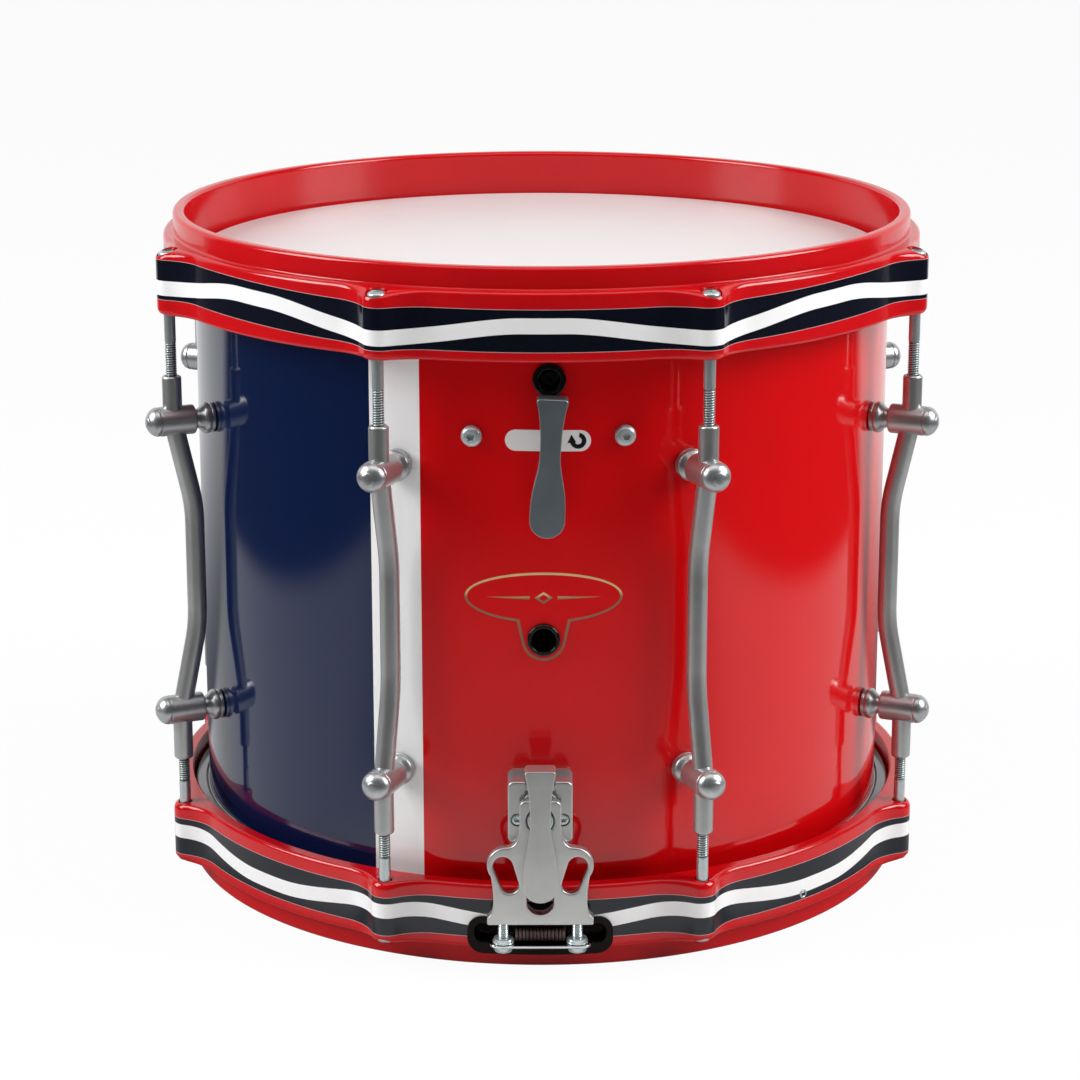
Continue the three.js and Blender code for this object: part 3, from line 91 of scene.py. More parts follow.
class Nodes:
    """Short calls for the nodes of one tree. An input is a socket to link or a value to set."""

    def __init__(self, tree):
        self.tree = tree

    def put(self, kind, inputs=(), **settings):
        node = self.tree.nodes.new(kind)
        for key, value in settings.items():
            setattr(node, key, value)
        for key, value in dict(inputs).items():
            self.feed(node.inputs[key], value)
        return node

    def feed(self, socket, value):
        if isinstance(value, bpy.types.NodeSocket):
            self.tree.links.new(value, socket)
        else:
            socket.default_value = value

    def math(self, operation, *values, clamp=False):
        node = self.put("ShaderNodeMath", operation=operation, use_clamp=clamp)
        for socket, value in zip(node.inputs, values):
            self.feed(socket, value)
        return node.outputs[0]

    def mix(self, factor, first, second):
        node = self.put("ShaderNodeMix", data_type="RGBA")
        for index, value in ((0, factor), (6, first), (7, second)):
            self.feed(node.inputs[index], value)
        return node.outputs[2]

    def mix_value(self, factor, first, second):
        node = self.put("ShaderNodeMix", data_type="FLOAT")
        for index, value in ((0, factor), (2, first), (3, second)):
            self.feed(node.inputs[index], value)
        return node.outputs[0]

    def noise(self, scale, detail, vector):
        inputs = {"Scale": scale, "Detail": detail, "Roughness": 0.55, "Vector": vector}
        return self.put("ShaderNodeTexNoise", inputs).outputs["Fac"]

    def remap(self, value, low, high, to_low=0.0, to_high=1.0, smooth=False):
        node = self.put("ShaderNodeMapRange", interpolation_type="SMOOTHSTEP" if smooth else "LINEAR")
        for key, number in (("Value", value), ("From Min", low), ("From Max", high),
                            ("To Min", to_low), ("To Max", to_high)):
            self.feed(node.inputs[key], number)
        return node.outputs[0]

    def place(self):
        return self.put("ShaderNodeTexCoord").outputs["Object"]

    def split(self, vector):
        return self.put("ShaderNodeSeparateXYZ", {"Vector": vector}).outputs

    def length(self, vector):
        return self.put("ShaderNodeVectorMath", {0: vector}, operation="LENGTH").outputs["Value"]

    def bearing(self, x, y):
        """The angle from the front, which faces -Y, in degrees."""
        turn = self.math("ARCTAN2", x, self.math("MULTIPLY", y, -1.0))
        return self.math("MULTIPLY", turn, 180 / math.pi)

    def group(self, tree, **inputs):
        node = self.put("ShaderNodeGroup", node_tree=tree)
        for key, value in inputs.items():
            self.feed(node.inputs[key.replace("_", " ")], value)
        return node.outputs


# Shared effects

BROAD_GRAIN_SHARE, LEAST_ROUGHNESS = 0.06, 0.02
EDGE_FACING = (0.99, 0.9)
WEAR_NOISE, WEAR_BREAK = 900.0, (0.4, 0.65)


def build_surface_grain():
    """Fine unevenness: a roughness that wanders and a height for a Bump."""
    inputs = [("Scale", "value", 400.0), ("Roughness", "value", 0.3), ("Spread", "value", 0.05)]
    group, entry, leave = new_group("surface grain", inputs, [("Roughness", "value"), ("Height", "value")])
    n = Nodes(group)
    where = n.place()
    fine = n.noise(entry.outputs["Scale"], 4.0, where)
    broad = n.noise(n.math("MULTIPLY", entry.outputs["Scale"], BROAD_GRAIN_SHARE), 3.0, where)
    centred = n.math("SUBTRACT", n.math("ADD", fine, broad), 1.0)
    rough = n.math("MULTIPLY_ADD", centred, entry.outputs["Spread"], entry.outputs["Roughness"])
    n.feed(leave.inputs["Roughness"], n.math("MAXIMUM", rough, LEAST_ROUGHNESS))
    n.feed(leave.inputs["Height"], fine)
    return group


def build_drum_angle():
    """The angle round the drum, in degrees from the front towards +X, and the height in millimetres."""
    group, entry, leave = new_group("drum angle", [], [("Angle", "value"), ("Height", "value")])
    n = Nodes(group)
    where = n.split(n.place())
    n.feed(leave.inputs["Angle"], n.bearing(where["X"], where["Y"]))
    n.feed(leave.inputs["Height"], n.math("MULTIPLY", where["Z"], 1 / MM))
    return group


def build_band():
    """1 between two limits and 0 outside them, with a soft step at each."""
    inputs = [("Value", "value", 0.0), ("Low", "value", 0.0), ("High", "value", 1.0), ("Soft", "value", 0.05)]
    group, entry, leave = new_group("band", inputs, [("Mask", "value")])
    n = Nodes(group)
    value, low, high, soft = (entry.outputs[key] for key in ("Value", "Low", "High", "Soft"))
    rise = n.math("DIVIDE", n.math("SUBTRACT", value, low), soft, clamp=True)
    fall = n.math("DIVIDE", n.math("SUBTRACT", high, value), soft, clamp=True)
    n.feed(leave.inputs["Mask"], n.math("MULTIPLY", rise, fall))
    return group


def build_edge_wear():
    """Rubbed edges: a mask from the bevelled normal, broken up by noise."""
    inputs = [("Width", "value", 0.0006), ("Amount", "value", 0.6)]
    group, entry, leave = new_group("edge wear", inputs, [("Mask", "value")])
    n = Nodes(group)
    bevel = n.put("ShaderNodeBevel", {"Radius": entry.outputs["Width"]}, samples=4)
    true_normal = n.put("ShaderNodeNewGeometry").outputs["Normal"]
    facing = n.put("ShaderNodeVectorMath", operation="DOT_PRODUCT")
    n.feed(facing.inputs[0], bevel.outputs[0])
    n.feed(facing.inputs[1], true_normal)
    edge = n.remap(facing.outputs["Value"], *EDGE_FACING, smooth=True)
    broken = n.remap(n.noise(WEAR_NOISE, 4.0, n.place()), *WEAR_BREAK)
    mask = n.math("MULTIPLY", n.math("MULTIPLY", edge, broken), entry.outputs["Amount"])
    n.feed(leave.inputs["Mask"], mask)
    return group


SURFACE_GRAIN = build_surface_grain()
DRUM_ANGLE = build_drum_angle()
BAND = build_band()
EDGE_WEAR = build_edge_wear()


# Finishes

STRIPE_SOFT = 0.06
FINE_BUMP, SOFT_BUMP = 0.00002, 0.00003


def finish_of(name, colour, rough, spread=0.04, grain=400.0, bump=0.1, bump_depth=0.00005, **constants):
    """A Principled material with the shared grain. Colour is a screen colour or a function of its Nodes."""
    material = bpy.data.materials.new(name)
    material.use_nodes = True
    n = Nodes(material.node_tree)
    shader = material.node_tree.nodes["Principled BSDF"]
    grain_out = n.group(SURFACE_GRAIN, Scale=grain, Roughness=rough, Spread=spread)
    n.feed(shader.inputs["Roughness"], grain_out["Roughness"])
    bump_inputs = {"Strength": bump, "Distance": bump_depth, "Height": grain_out["Height"]}
    bump_node = n.put("ShaderNodeBump", bump_inputs)
    n.feed(shader.inputs["Normal"], bump_node.outputs[0])
    n.feed(shader.inputs["Base Color"], colour(n) if callable(colour) else linear(colour))
    for key, value in constants.items():
        shader.inputs[key.replace("_", " ")].default_value = value
    return material


def mottled(colour, amount=0.08, scale=60.0):
    """A colour that wanders a little in brightness over the surface."""
    def paint(n):
        dark = tuple(channel * (1 - amount) for channel in colour)
        light = tuple(min(channel * (1 + amount), 255) for channel in colour)
        return n.mix(n.noise(scale, 4.0, n.place()), linear(dark), linear(light))
    return paint


def worn(colour, bright, amount=0.5, width=0.0006):
    """A mottled colour whose edges are rubbed brighter."""
    def paint(n):
        mask = n.group(EDGE_WEAR, Width=width, Amount=amount)["Mask"]
        return n.mix(mask, mottled(colour)(n), linear(bright))
    return paint


def shell_colours(n):
    """Red at the front and right, navy at the left and behind, a white stripe between them."""
    angle = n.group(DRUM_ANGLE)["Angle"]

    def between(low, high):
        return n.group(BAND, Value=angle, Low=low, High=high, Soft=STRIPE_SOFT)["Mask"]

    front, rear = between(*WHITE_STRIPE), between(*REAR_STRIPE)
    red = between(WHITE_STRIPE[1] - STRIPE_SOFT, REAR_STRIPE[0] + STRIPE_SOFT)
    ground = n.mix(red, linear(NAVY), mottled(RED_LACQUER, 0.03, 30.0)(n))
    return n.mix(n.math("MAXIMUM", front, rear), ground, linear(WHITE))


# The hoops' painted band in heights of the upper hoop: the navy film, the white line's upper edge at a boss
# and between two, and how far the upper film climbs away from the front
UPPER_BAND, LOWER_BAND = (302.0, 321.5), (303.4, 322.6)
WAVE_WIDTH = 7.4
UPPER_WAVE, LOWER_WAVE = (311.4, 317.8), (313.9, 319.4)
FILM_RISE, FILM_RISE_ANGLES = (-1.0, 2.2), (18, 56)
WAVE_FLAT, WAVE_CREST = 1.8, 19.6
BAND_SOFT = 0.12
HAIRLINE = 0.22
BAND_REACH = 189.2


def hoop_colours(upper):
    """Red enamel with a navy band, and on it a white line that dips at every boss."""
    def paint(n):
        drum = n.group(DRUM_ANGLE)
        band_low, band_high = UPPER_BAND if upper else LOWER_BAND
        at_boss, between = UPPER_WAVE if upper else LOWER_WAVE
        if upper:
            rise = n.remap(n.math("ABSOLUTE", drum["Angle"]), *FILM_RISE_ANGLES, *FILM_RISE, smooth=True)
            height = n.math("SUBTRACT", drum["Height"], rise)
        else:
            height = n.math("SUBTRACT", HEIGHT, drum["Height"])
        turn = n.math("FLOORED_MODULO", drum["Angle"], STATION)
        off = n.math("ABSOLUTE", n.math("SUBTRACT", turn, STATION / 2))
        top = n.remap(off, WAVE_FLAT, WAVE_CREST, at_boss, between, smooth=True)
        low = n.math("SUBTRACT", top, WAVE_WIDTH)
        where = n.split(n.place())
        radius = n.length(n.put("ShaderNodeCombineXYZ", {"X": where["X"], "Y": where["Y"]}).outputs[0])
        outside = n.math("GREATER_THAN", radius, BAND_REACH * MM)
        colour = mottled(RED_ENAMEL, 0.04, 40.0)(n)
        rim = (band_low - HAIRLINE, band_high + HAIRLINE)
        films = ((rim, FILM_EDGE), ((band_low, band_high), BAND_NAVY), ((low, top), WHITE))
        for (start, end), film_colour in films:
            mask = n.group(BAND, Value=height, Low=start, High=end, Soft=BAND_SOFT)["Mask"]
            colour = n.mix(n.math("MULTIPLY", mask, outside), colour, linear(film_colour))
        return colour
    return paint


# The badge's middle height, where its gold turns from a painted highlight above to painted shade below, and
# the two golds
BADGE_MIDDLE, BADGE_SHADE_CHANGE = 181.2, (-1, 2)
LIT_GOLD, SHADED_GOLD = (236, 204, 146), (150, 118, 92)


def badge_gold_lit_and_shaded(n):
    """Gold with a painted highlight in the badge's upper half and painted shade, a browner gold, below its
    middle.
    """
    height = n.group(DRUM_ANGLE)["Height"]
    upper = n.remap(height, *[BADGE_MIDDLE + step for step in BADGE_SHADE_CHANGE], smooth=True)
    return n.mix(upper, linear(SHADED_GOLD), mottled(LIT_GOLD, 0.06, 200.0)(n))


def rod_zinc_with_root_shade(n):
    """Bright zinc, with painted shade darkening the roots of the thread."""
    plate_colour = mottled((200, 210, 211), 0.05, 400.0)(n)
    # painted shade: the deeper a point lies in the thread, the darker the zinc
    root_shade = n.put("ShaderNodeAttribute", attribute_name="thread_root_shade").outputs["Fac"]
    return n.mix(root_shade, plate_colour, linear((92, 100, 102)))


LACQUER = finish_of("lacquer", shell_colours, 0.09, 0.02, 220.0, 0.02, FINE_BUMP,
                    Coat_Weight=0.35, Coat_Roughness=0.03, Specular_IOR_Level=0.5)
UPPER_ENAMEL = finish_of("upper hoop enamel", hoop_colours(True), 0.15, 0.04, 260.0, 0.05, SOFT_BUMP)
LOWER_ENAMEL = finish_of("lower hoop enamel", hoop_colours(False), 0.15, 0.04, 260.0, 0.05, SOFT_BUMP)
PLY = finish_of("birch ply", mottled((196, 158, 112), 0.12, 90.0), 0.55, 0.1, 300.0, 0.2)
FILM = finish_of("coated film", mottled((217, 213, 213), 0.012, 30.0), 0.3, 0.05, 900.0, 0.08, FINE_BUMP)
SATIN_GREY = finish_of("satin grey post", worn((188, 190, 189), (208, 209, 208), 0.25), 0.35, 0.04, 900.0,
                       0.1, FINE_BUMP, Metallic=0.85)
CASTING = finish_of("satin casting", worn((205, 206, 204), (216, 217, 215), 0.2, 0.0004), 0.4, 0.04, 1300.0,
                    0.14, FINE_BUMP, Metallic=0.93)
# A bluish copy of the satin casting, made darker as painted shade on the upper lever
BLUE_CASTING_IN_SHADE = finish_of("satin upper lever in painted shade", worn((164, 176, 182), (190, 198, 202), 0.2, 0.0004), 0.42, 0.04,
                         1300.0, 0.14, FINE_BUMP, Metallic=0.93)
ZINC = finish_of("zinc plate", worn((200, 210, 211), (222, 228, 228), 0.1), 0.27, 0.04, 700.0, 0.03,
                 FINE_BUMP, Metallic=0.78)
# Zinc whose thread roots are darkened as painted shade
ROD_ZINC = finish_of("zinc rod with painted root shade", rod_zinc_with_root_shade, 0.3, 0.04, 700.0, 0.03, FINE_BUMP, Metallic=0.75)
BRIGHT_ZINC = finish_of("bright screw zinc", worn((206, 214, 216), (228, 232, 232), 0.3), 0.36, 0.06, 700.0,
                        0.1, SOFT_BUMP, Metallic=0.6)
# Darker than the plain aluminium as painted shade round the flesh hoops
FLESH_HOOP_IN_SHADE = finish_of("flesh hoop", mottled((120, 120, 124), 0.05), 0.13, 0.04, 500.0, 0.05, Metallic=1.0)
TURNED = finish_of("turned standoff", worn((190, 193, 194), (214, 216, 216), 0.25), 0.33, 0.04, 900.0, 0.05,
                   FINE_BUMP, Metallic=0.88)
CHROME = finish_of("polished clamp plate", mottled((214, 218, 220), 0.03), 0.07, 0.03, 300.0, 0.03, FINE_BUMP,
                   Metallic=1.0)
BARE_METAL = finish_of("plain aluminium", mottled((178, 178, 176), 0.06), 0.34, 0.08, 500.0, 0.1,
                       Metallic=1.0)
BLACK = finish_of("black plastic", mottled((14, 13, 12), 0.2, 90.0), 0.07, 0.03, 300.0, 0.03, SOFT_BUMP,
                  Specular_IOR_Level=0.5)
LINER = finish_of("gate liner", mottled((26, 22, 19), 0.15, 90.0), 0.5, 0.05, 300.0, 0.05, SOFT_BUMP,
                  Specular_IOR_Level=0.08)
# Near black standing for the shade deep in the key bush: painted shade on the key screw
RECESS_SHADE_BLACK = finish_of("painted recess shade", mottled((12, 12, 12), 0.2), 0.6, 0.1)
STRAP = finish_of("snare strap", mottled((72, 48, 42), 0.35, 500.0), 0.45, 0.1, 900.0, 0.4)
WIRE = finish_of("snare strands", mottled((150, 148, 140), 0.2, 500.0), 0.35, 0.1, 900.0, 0.2, Metallic=0.8)
PRINT_WHITE = finish_of("printed white", mottled((226, 222, 221), 0.01), 0.35, 0.04, 900.0, 0.05)
PRINT_BLACK = finish_of("printed black", mottled((20, 20, 22), 0.1), 0.35, 0.04, 900.0, 0.05)
# The gold print carries a painted highlight in its upper half and painted shade below
PRINT_GOLD = finish_of("printed gold", badge_gold_lit_and_shaded, 0.3, 0.05, 900.0, 0.05, Metallic=0.3)
PRINT_RED = finish_of("printed red", mottled((206, 5, 12), 0.03, 200.0), 0.08, 0.02, 300.0, 0.02, FINE_BUMP)


# Mesh helpers. All take millimetres.

def turn_about_z(degrees):
    return Matrix.Rotation(math.radians(degrees), 4, "Z")


FRONT = Matrix.Rotation(math.radians(90), 4, "X")
FLIP = Matrix.Translation((0, 0, HEIGHT)) @ Matrix.Rotation(math.pi, 4, "X")


def moved(x=0.0, y=0.0, z=0.0):
    return Matrix.Translation((x, y, z))


def linked(name, data):
    """A new object in the scene, at the origin."""
    obj = bpy.data.objects.new(name, data)
    bpy.context.collection.objects.link(obj)
    return obj


def close_mesh(mesh, distance):
    """Merges a mesh's doubled points and points its faces outwards."""
    work = bmesh.new()
    work.from_mesh(mesh)
    bmesh.ops.remove_doubles(work, verts=work.verts, dist=distance)
    bmesh.ops.recalc_face_normals(work, faces=work.faces)
    work.to_mesh(mesh)
    work.free()
    mesh.update()


def mesh_object(name, points, faces, transform=Matrix.Identity(4)):
    """A closed mesh from points and faces."""
    mesh = bpy.data.meshes.new(name)
    mesh.from_pydata([transform @ Vector(point) for point in points], [], faces)
    close_mesh(mesh, 1e-5)
    return linked(name, mesh)


def ring_skin(rings, closed_profile):
    """Faces between rings of equally many points, each ring closed in itself."""
    count = len(rings[0])
    faces = []
    spans = len(rings) if closed_profile else len(rings) - 1
    for level in range(spans):
        here, above = level * count, (level + 1) % len(rings) * count
        for k in range(count):
            nxt = (k + 1) % count
            faces.append((here + k, here + nxt, above + nxt, above + k))
    if not closed_profile:
        last = (len(rings) - 1) * count
        faces.append(tuple(reversed(range(count))))
        faces.append(tuple(last + k for k in range(count)))
    return [point for ring in rings for point in ring], faces


def hex_radius(apothem, angle):
    """The distance to a hexagon's edge at an angle."""
    sixth = math.pi / 3
    return apothem / math.cos((angle % sixth) - sixth / 2)


def turned(name, profile, segments=48, transform=Matrix.Identity(4), ring=False):
    """A profile of (radius, height) turned about Z. A third entry, "hex", makes that ring a hexagon."""
    rings = []
    for entry in profile:
        radius, height = entry[:2]
        points = []
        for k in range(segments):
            angle = 2 * math.pi * k / segments
            reach = hex_radius(radius, angle) if len(entry) > 2 else radius
            points.append((reach * math.cos(angle), reach * math.sin(angle), height))
        rings.append(points)
    points, faces = ring_skin(rings, ring)
    return mesh_object(name, points, faces, transform)


def arc(cx, cy, radius, start, end, steps=8):
    """Points on an arc from one angle to another, in degrees."""
    spread = [math.radians(start + (end - start) * k / steps) for k in range(steps + 1)]
    return [(cx + radius * math.cos(a), cy + radius * math.sin(a)) for a in spread]


def bezier(start, first, second, end, steps=12):
    points = []
    for k in range(1, steps + 1):
        t = k / steps
        weights = ((1 - t) ** 3, 3 * t * (1 - t) ** 2, 3 * t * t * (1 - t), t ** 3)
        pulls = list(zip(weights, (start, first, second, end)))
        points.append(tuple(sum(weight * point[i] for weight, point in pulls) for i in (0, 1)))
    return points


def quadratic(start, handle, end, steps=10):
    first = tuple(s + 2 / 3 * (h - s) for s, h in zip(start, handle))
    second = tuple(e + 2 / 3 * (h - e) for e, h in zip(end, handle))
    return bezier(start, first, second, end, steps)


def rounded(width, low, high, corner):
    """A rectangle with round corners, its middle at zero across."""
    side = width / 2 - corner
    return (arc(side, low + corner, corner, -90, 0) + arc(side, high - corner, corner, 0, 90)
            + arc(-side, high - corner, corner, 90, 180) + arc(-side, low + corner, corner, 180, 270))


def both_sides(side):
    """An outline from its right half, drawn from the top down."""
    return side + [(-x, y) for x, y in reversed(side)]


def upright_box(half, low, high):
    """A plain rectangle, its middle at zero across."""
    return [(-half, low), (half, low), (half, high), (-half, high)]


def circle(cx, cy, radius, steps=32):
    return arc(cx, cy, radius, 0, 360 * (steps - 1) / steps, steps - 1)


def plate(name, outlines, inner, outer, bevel, transform=Matrix.Identity(4), fine=3):
    """A plate with bevelled edges that stands at the front, between two distances from the axis."""
    curve = bpy.data.curves.new(name, "CURVE")
    curve.dimensions = "2D"
    curve.fill_mode = "BOTH"
    curve.extrude = (outer - inner) / 2 - bevel
    curve.bevel_depth = bevel
    curve.bevel_resolution = fine
    curve.offset = -bevel
    for outline in outlines:
        spline = curve.splines.new("POLY")
        spline.points.add(len(outline) - 1)
        for point, (x, y) in zip(spline.points, outline):
            point.co = (x, y, 0, 1)
        spline.use_cyclic_u = True
    holder = linked(name, curve)
    bpy.context.view_layer.update()
    mesh = bpy.data.meshes.new_from_object(holder.evaluated_get(bpy.context.evaluated_depsgraph_get()))
    bpy.data.objects.remove(holder)
    bpy.data.curves.remove(curve)
    mesh.transform(transform @ moved(y=-(inner + outer) / 2) @ FRONT)
    close_mesh(mesh, 1e-3)
    return linked(name, mesh)


def sweep(name, path, radius, sides=24):
    """A round tube along a path in the plane x = 0. Each path point may carry its own radius."""
    rings = []
    for k, point in enumerate(path):
        before, after = path[max(k - 1, 0)], path[min(k + 1, len(path) - 1)]
        along = Vector((0, after[0] - before[0], after[1] - before[1])).normalized()
        across = Vector((1, 0, 0))
        up = along.cross(across)
        size = point[2] if len(point) > 2 else radius
        centre = Vector((0, point[0], point[1]))
        angles = [2 * math.pi * i / sides for i in range(sides)]
        rings.append([tuple(centre + (across * math.cos(a) + up * math.sin(a)) * size) for a in angles])
    points, faces = ring_skin(rings, False)
    return mesh_object(name, points, faces)


def baked(obj):
    """The object with its modifiers made part of its mesh."""
    bpy.context.view_layer.update()
    mesh = bpy.data.meshes.new_from_object(obj.evaluated_get(bpy.context.evaluated_depsgraph_get()))
    obj.modifiers.clear()
    old = obj.data
    obj.data = mesh
    bpy.data.meshes.remove(old)
    return obj


def combined(body, tools, operation="DIFFERENCE"):
    """The body with each tool cut from it, or joined or kept, as the operation says."""
    for tool in tools:
        modifier = body.modifiers.new("shape", "BOOLEAN")
        modifier.operation = operation
        modifier.solver = "EXACT"
        modifier.object = tool
    baked(body)
    for tool in tools:
        bpy.data.objects.remove(tool)
    return body


def merged(name, parts):
    """One object out of several, each keeping its own closed surface."""
    work = bmesh.new()
    for part in parts:
        work.from_mesh(part.data)
        bpy.data.objects.remove(part)
    mesh = bpy.data.meshes.new(name)
    work.to_mesh(mesh)
    work.free()
    return linked(name, mesh)


def copied(source, name, transform):
    """A copy of a piece that is not finished yet, moved to its place."""
    mesh = source.data.copy()
    mesh.transform(transform)
    return linked(name, mesh)


def finished(obj, material, body="drum", stands_for=(), sharp=35.0):
    """Brings a piece from millimetres to metres, gives it its finish and puts it on its body."""
    mesh = obj.data
    mesh.transform(Matrix.Scale(MM, 4))
    mesh.shade_smooth()
    mesh.set_sharp_from_angle(angle=math.radians(sharp))
    even = obj.modifiers.new("even", "WEIGHTED_NORMAL")
    even.keep_sharp = True
    mesh = baked(obj).data
    mesh.materials.clear()
    mesh.materials.append(material)
    mesh.name = obj.name
    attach(obj, body)
    if stands_for:
        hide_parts(*stands_for)
    return obj


def bar(radius, low, high, transform, segments=40):
    return turned("tool", [(radius, low), (radius, high)], segments, transform)


# Camera at the photograph's viewing angle

VIEW_DISTANCE = 1561.8
VIEW_ELEVATION = 15.15
VIEW_YAW = 0.31
VIEW_HEIGHT = 170
VIEW_FOCAL_SHARE = 2975.2 / 1080
SENSOR = 36
VIEW_SHIFT = (-0.0015, -0.0168)


def add_camera():
    data = bpy.data.cameras.new("camera")
    data.sensor_width = SENSOR
    data.lens = VIEW_FOCAL_SHARE * SENSOR
    data.shift_x, data.shift_y = VIEW_SHIFT
    data.clip_start, data.clip_end = 0.05, 20
    camera = linked("camera", data)
    tilt = math.radians(VIEW_ELEVATION)
    target = Vector((0, 0, VIEW_HEIGHT)) * MM
    offset = Vector((0, -math.cos(tilt), math.sin(tilt))) * VIEW_DISTANCE * MM
    camera.location = target + turn_about_z(-VIEW_YAW) @ offset
    camera.rotation_euler = (math.radians(90) - tilt, 0, math.radians(-VIEW_YAW))
    bpy.context.scene.camera = camera


# Light, floor and background

# Each softbox has its place and size in metres and its power in watts
SOFTBOXES = (("left softbox", (-1.8, -0.37, 1.35), (1.0, 1.3), 39),
             ("right softbox", (1.8, -0.37, 1.35), (1.0, 1.3), 42),
             ("top softbox", (0.0, -0.4, 1.3), (1.2, 0.7), 4))
LAMP_TARGET = (0, 0, 0.17)


def add_softbox(name, place, size, power):
    data = bpy.data.lights.new(name, "AREA")
    data.shape = "RECTANGLE"
    data.size, data.size_y = size
    data.energy = power
    lamp = linked(name, data)
    lamp.location = place
    lamp.rotation_euler = (Vector(LAMP_TARGET) - Vector(place)).to_track_quat("-Z", "Y").to_euler()


# What gloss shows, in metres: a white table, dim far off in front, a white sweep behind
# and a dark room elsewhere
TABLE_HALF_WIDTH, TABLE_SOFT = 0.72, 0.05
TABLE_GLOSS, ROOM_GLOSS, SWEEP_GLOSS = 0.62, 0.04, 0.85
FRONT_BRIGHT, FRONT_DIM = 1.0, 0.32
FRONT_NEAR, FRONT_MIDDLE, FRONT_FAR = 0.23, 0.45, 1.0
FRONT_ANGLES = (38, 58)
SWEEP_ANGLES = (118, 124)
SWEEP_DIRECTION = (0.42, 0.56)
SWEEP_SHADE, SWEEP_SHADE_REACH = 0.12, (0.28, 1.2)
UNDER_DRUM, FOOT_SHADE, FOOT_GLOSS_SHARE = (0.150, 0.184), (0.205, 0.24), 0.25
FLOOR_HALF_SIZE = 6.0
FLOOR_WHITE_SHARE = 0.95
FLOOR_GREYS = (236, 236, 236), (240, 240, 240)
SWEEP_FILL, ROOM_FILL, FILL_DIRECTION = 0.34, 0.05, (-0.75, 0.35)


def add_world():
    """White to the camera. The room behind the camera is dark, the sweep behind the object is white."""
    world = bpy.data.worlds.new("studio")
    bpy.context.scene.world = world
    world.use_nodes = True
    n = Nodes(world.node_tree)
    background = world.node_tree.nodes["Background"]
    background.inputs["Color"].default_value = (1, 1, 1, 1)
    path = n.put("ShaderNodeLightPath").outputs
    back = n.split(n.put("ShaderNodeTexCoord").outputs["Generated"])["Y"]
    fill = n.remap(back, *FILL_DIRECTION, ROOM_FILL, SWEEP_FILL, smooth=True)
    gloss = n.remap(back, *SWEEP_DIRECTION, ROOM_GLOSS, SWEEP_GLOSS, smooth=True)
    light = n.mix_value(path["Is Glossy Ray"], fill, gloss)
    n.feed(background.inputs["Strength"], n.math("MAXIMUM", path["Is Camera Ray"], light))


def add_floor():
    """A pale floor, white to the camera, that keeps the object's shadow and shows as a table in gloss."""
    size = FLOOR_HALF_SIZE
    mesh = bpy.data.meshes.new("floor")
    corners = [(-size, -size, 0), (size, -size, 0), (size, size, 0), (-size, size, 0)]
    mesh.from_pydata(corners, [], [(0, 1, 2, 3)])
    floor = linked("floor", mesh)
    material = bpy.data.materials.new("pale floor")
    material.use_nodes = True
    n = Nodes(material.node_tree)
    material.node_tree.nodes.remove(material.node_tree.nodes["Principled BSDF"])
    out = material.node_tree.nodes["Material Output"]
    where = n.place()
    split = n.split(where)
    across = n.math("ABSOLUTE", split["X"])
    turn = n.bearing(across, split["Y"])
    reach = n.length(where)
    edges = (TABLE_HALF_WIDTH - TABLE_SOFT, TABLE_HALF_WIDTH + TABLE_SOFT)
    side = n.remap(across, *edges, TABLE_GLOSS, ROOM_GLOSS, smooth=True)
    near = n.remap(reach, FRONT_NEAR, FRONT_MIDDLE, FRONT_BRIGHT, FRONT_DIM)
    front = n.math("MULTIPLY", near, n.remap(reach, FRONT_MIDDLE, FRONT_FAR, 1.0, ROOM_GLOSS))
    table = n.mix_value(n.remap(turn, *FRONT_ANGLES, smooth=True), front, side)
    sweep = n.remap(reach, *SWEEP_SHADE_REACH, SWEEP_SHADE, SWEEP_GLOSS, smooth=True)
    table = n.mix_value(n.remap(turn, *SWEEP_ANGLES, smooth=True), table, sweep)
    table = n.math("MULTIPLY", table, n.remap(reach, *FOOT_SHADE, FOOT_GLOSS_SHARE, 1.0, smooth=True))
    path = n.put("ShaderNodeLightPath").outputs
    outside = n.remap(reach, *UNDER_DRUM, smooth=True)
    camera, gloss = (n.math("MULTIPLY", path[key], outside) for key in ("Is Camera Ray", "Is Glossy Ray"))
    pale = n.mix(n.noise(30.0, 3.0, where), *[linear(grey) for grey in FLOOR_GREYS])
    matte = n.put("ShaderNodeBsdfDiffuse", {"Color": pale})
    glow = n.put("ShaderNodeEmission", {
        "Color": (1, 1, 1, 1), "Strength": n.math("ADD", camera, n.math("MULTIPLY", gloss, table))})
    share = n.math("ADD", n.math("MULTIPLY", camera, FLOOR_WHITE_SHARE), gloss, clamp=True)
    mix = n.put("ShaderNodeMixShader", {0: share, 1: matte.outputs[0], 2: glow.outputs[0]})
    n.feed(out.inputs["Surface"], mix.outputs[0])
    mesh.materials.append(material)


add_camera()
bpy.context.scene.view_settings.view_transform = "Standard"
add_world()
add_floor()
for softbox in SOFTBOXES:
    add_softbox(*softbox)


# Shell

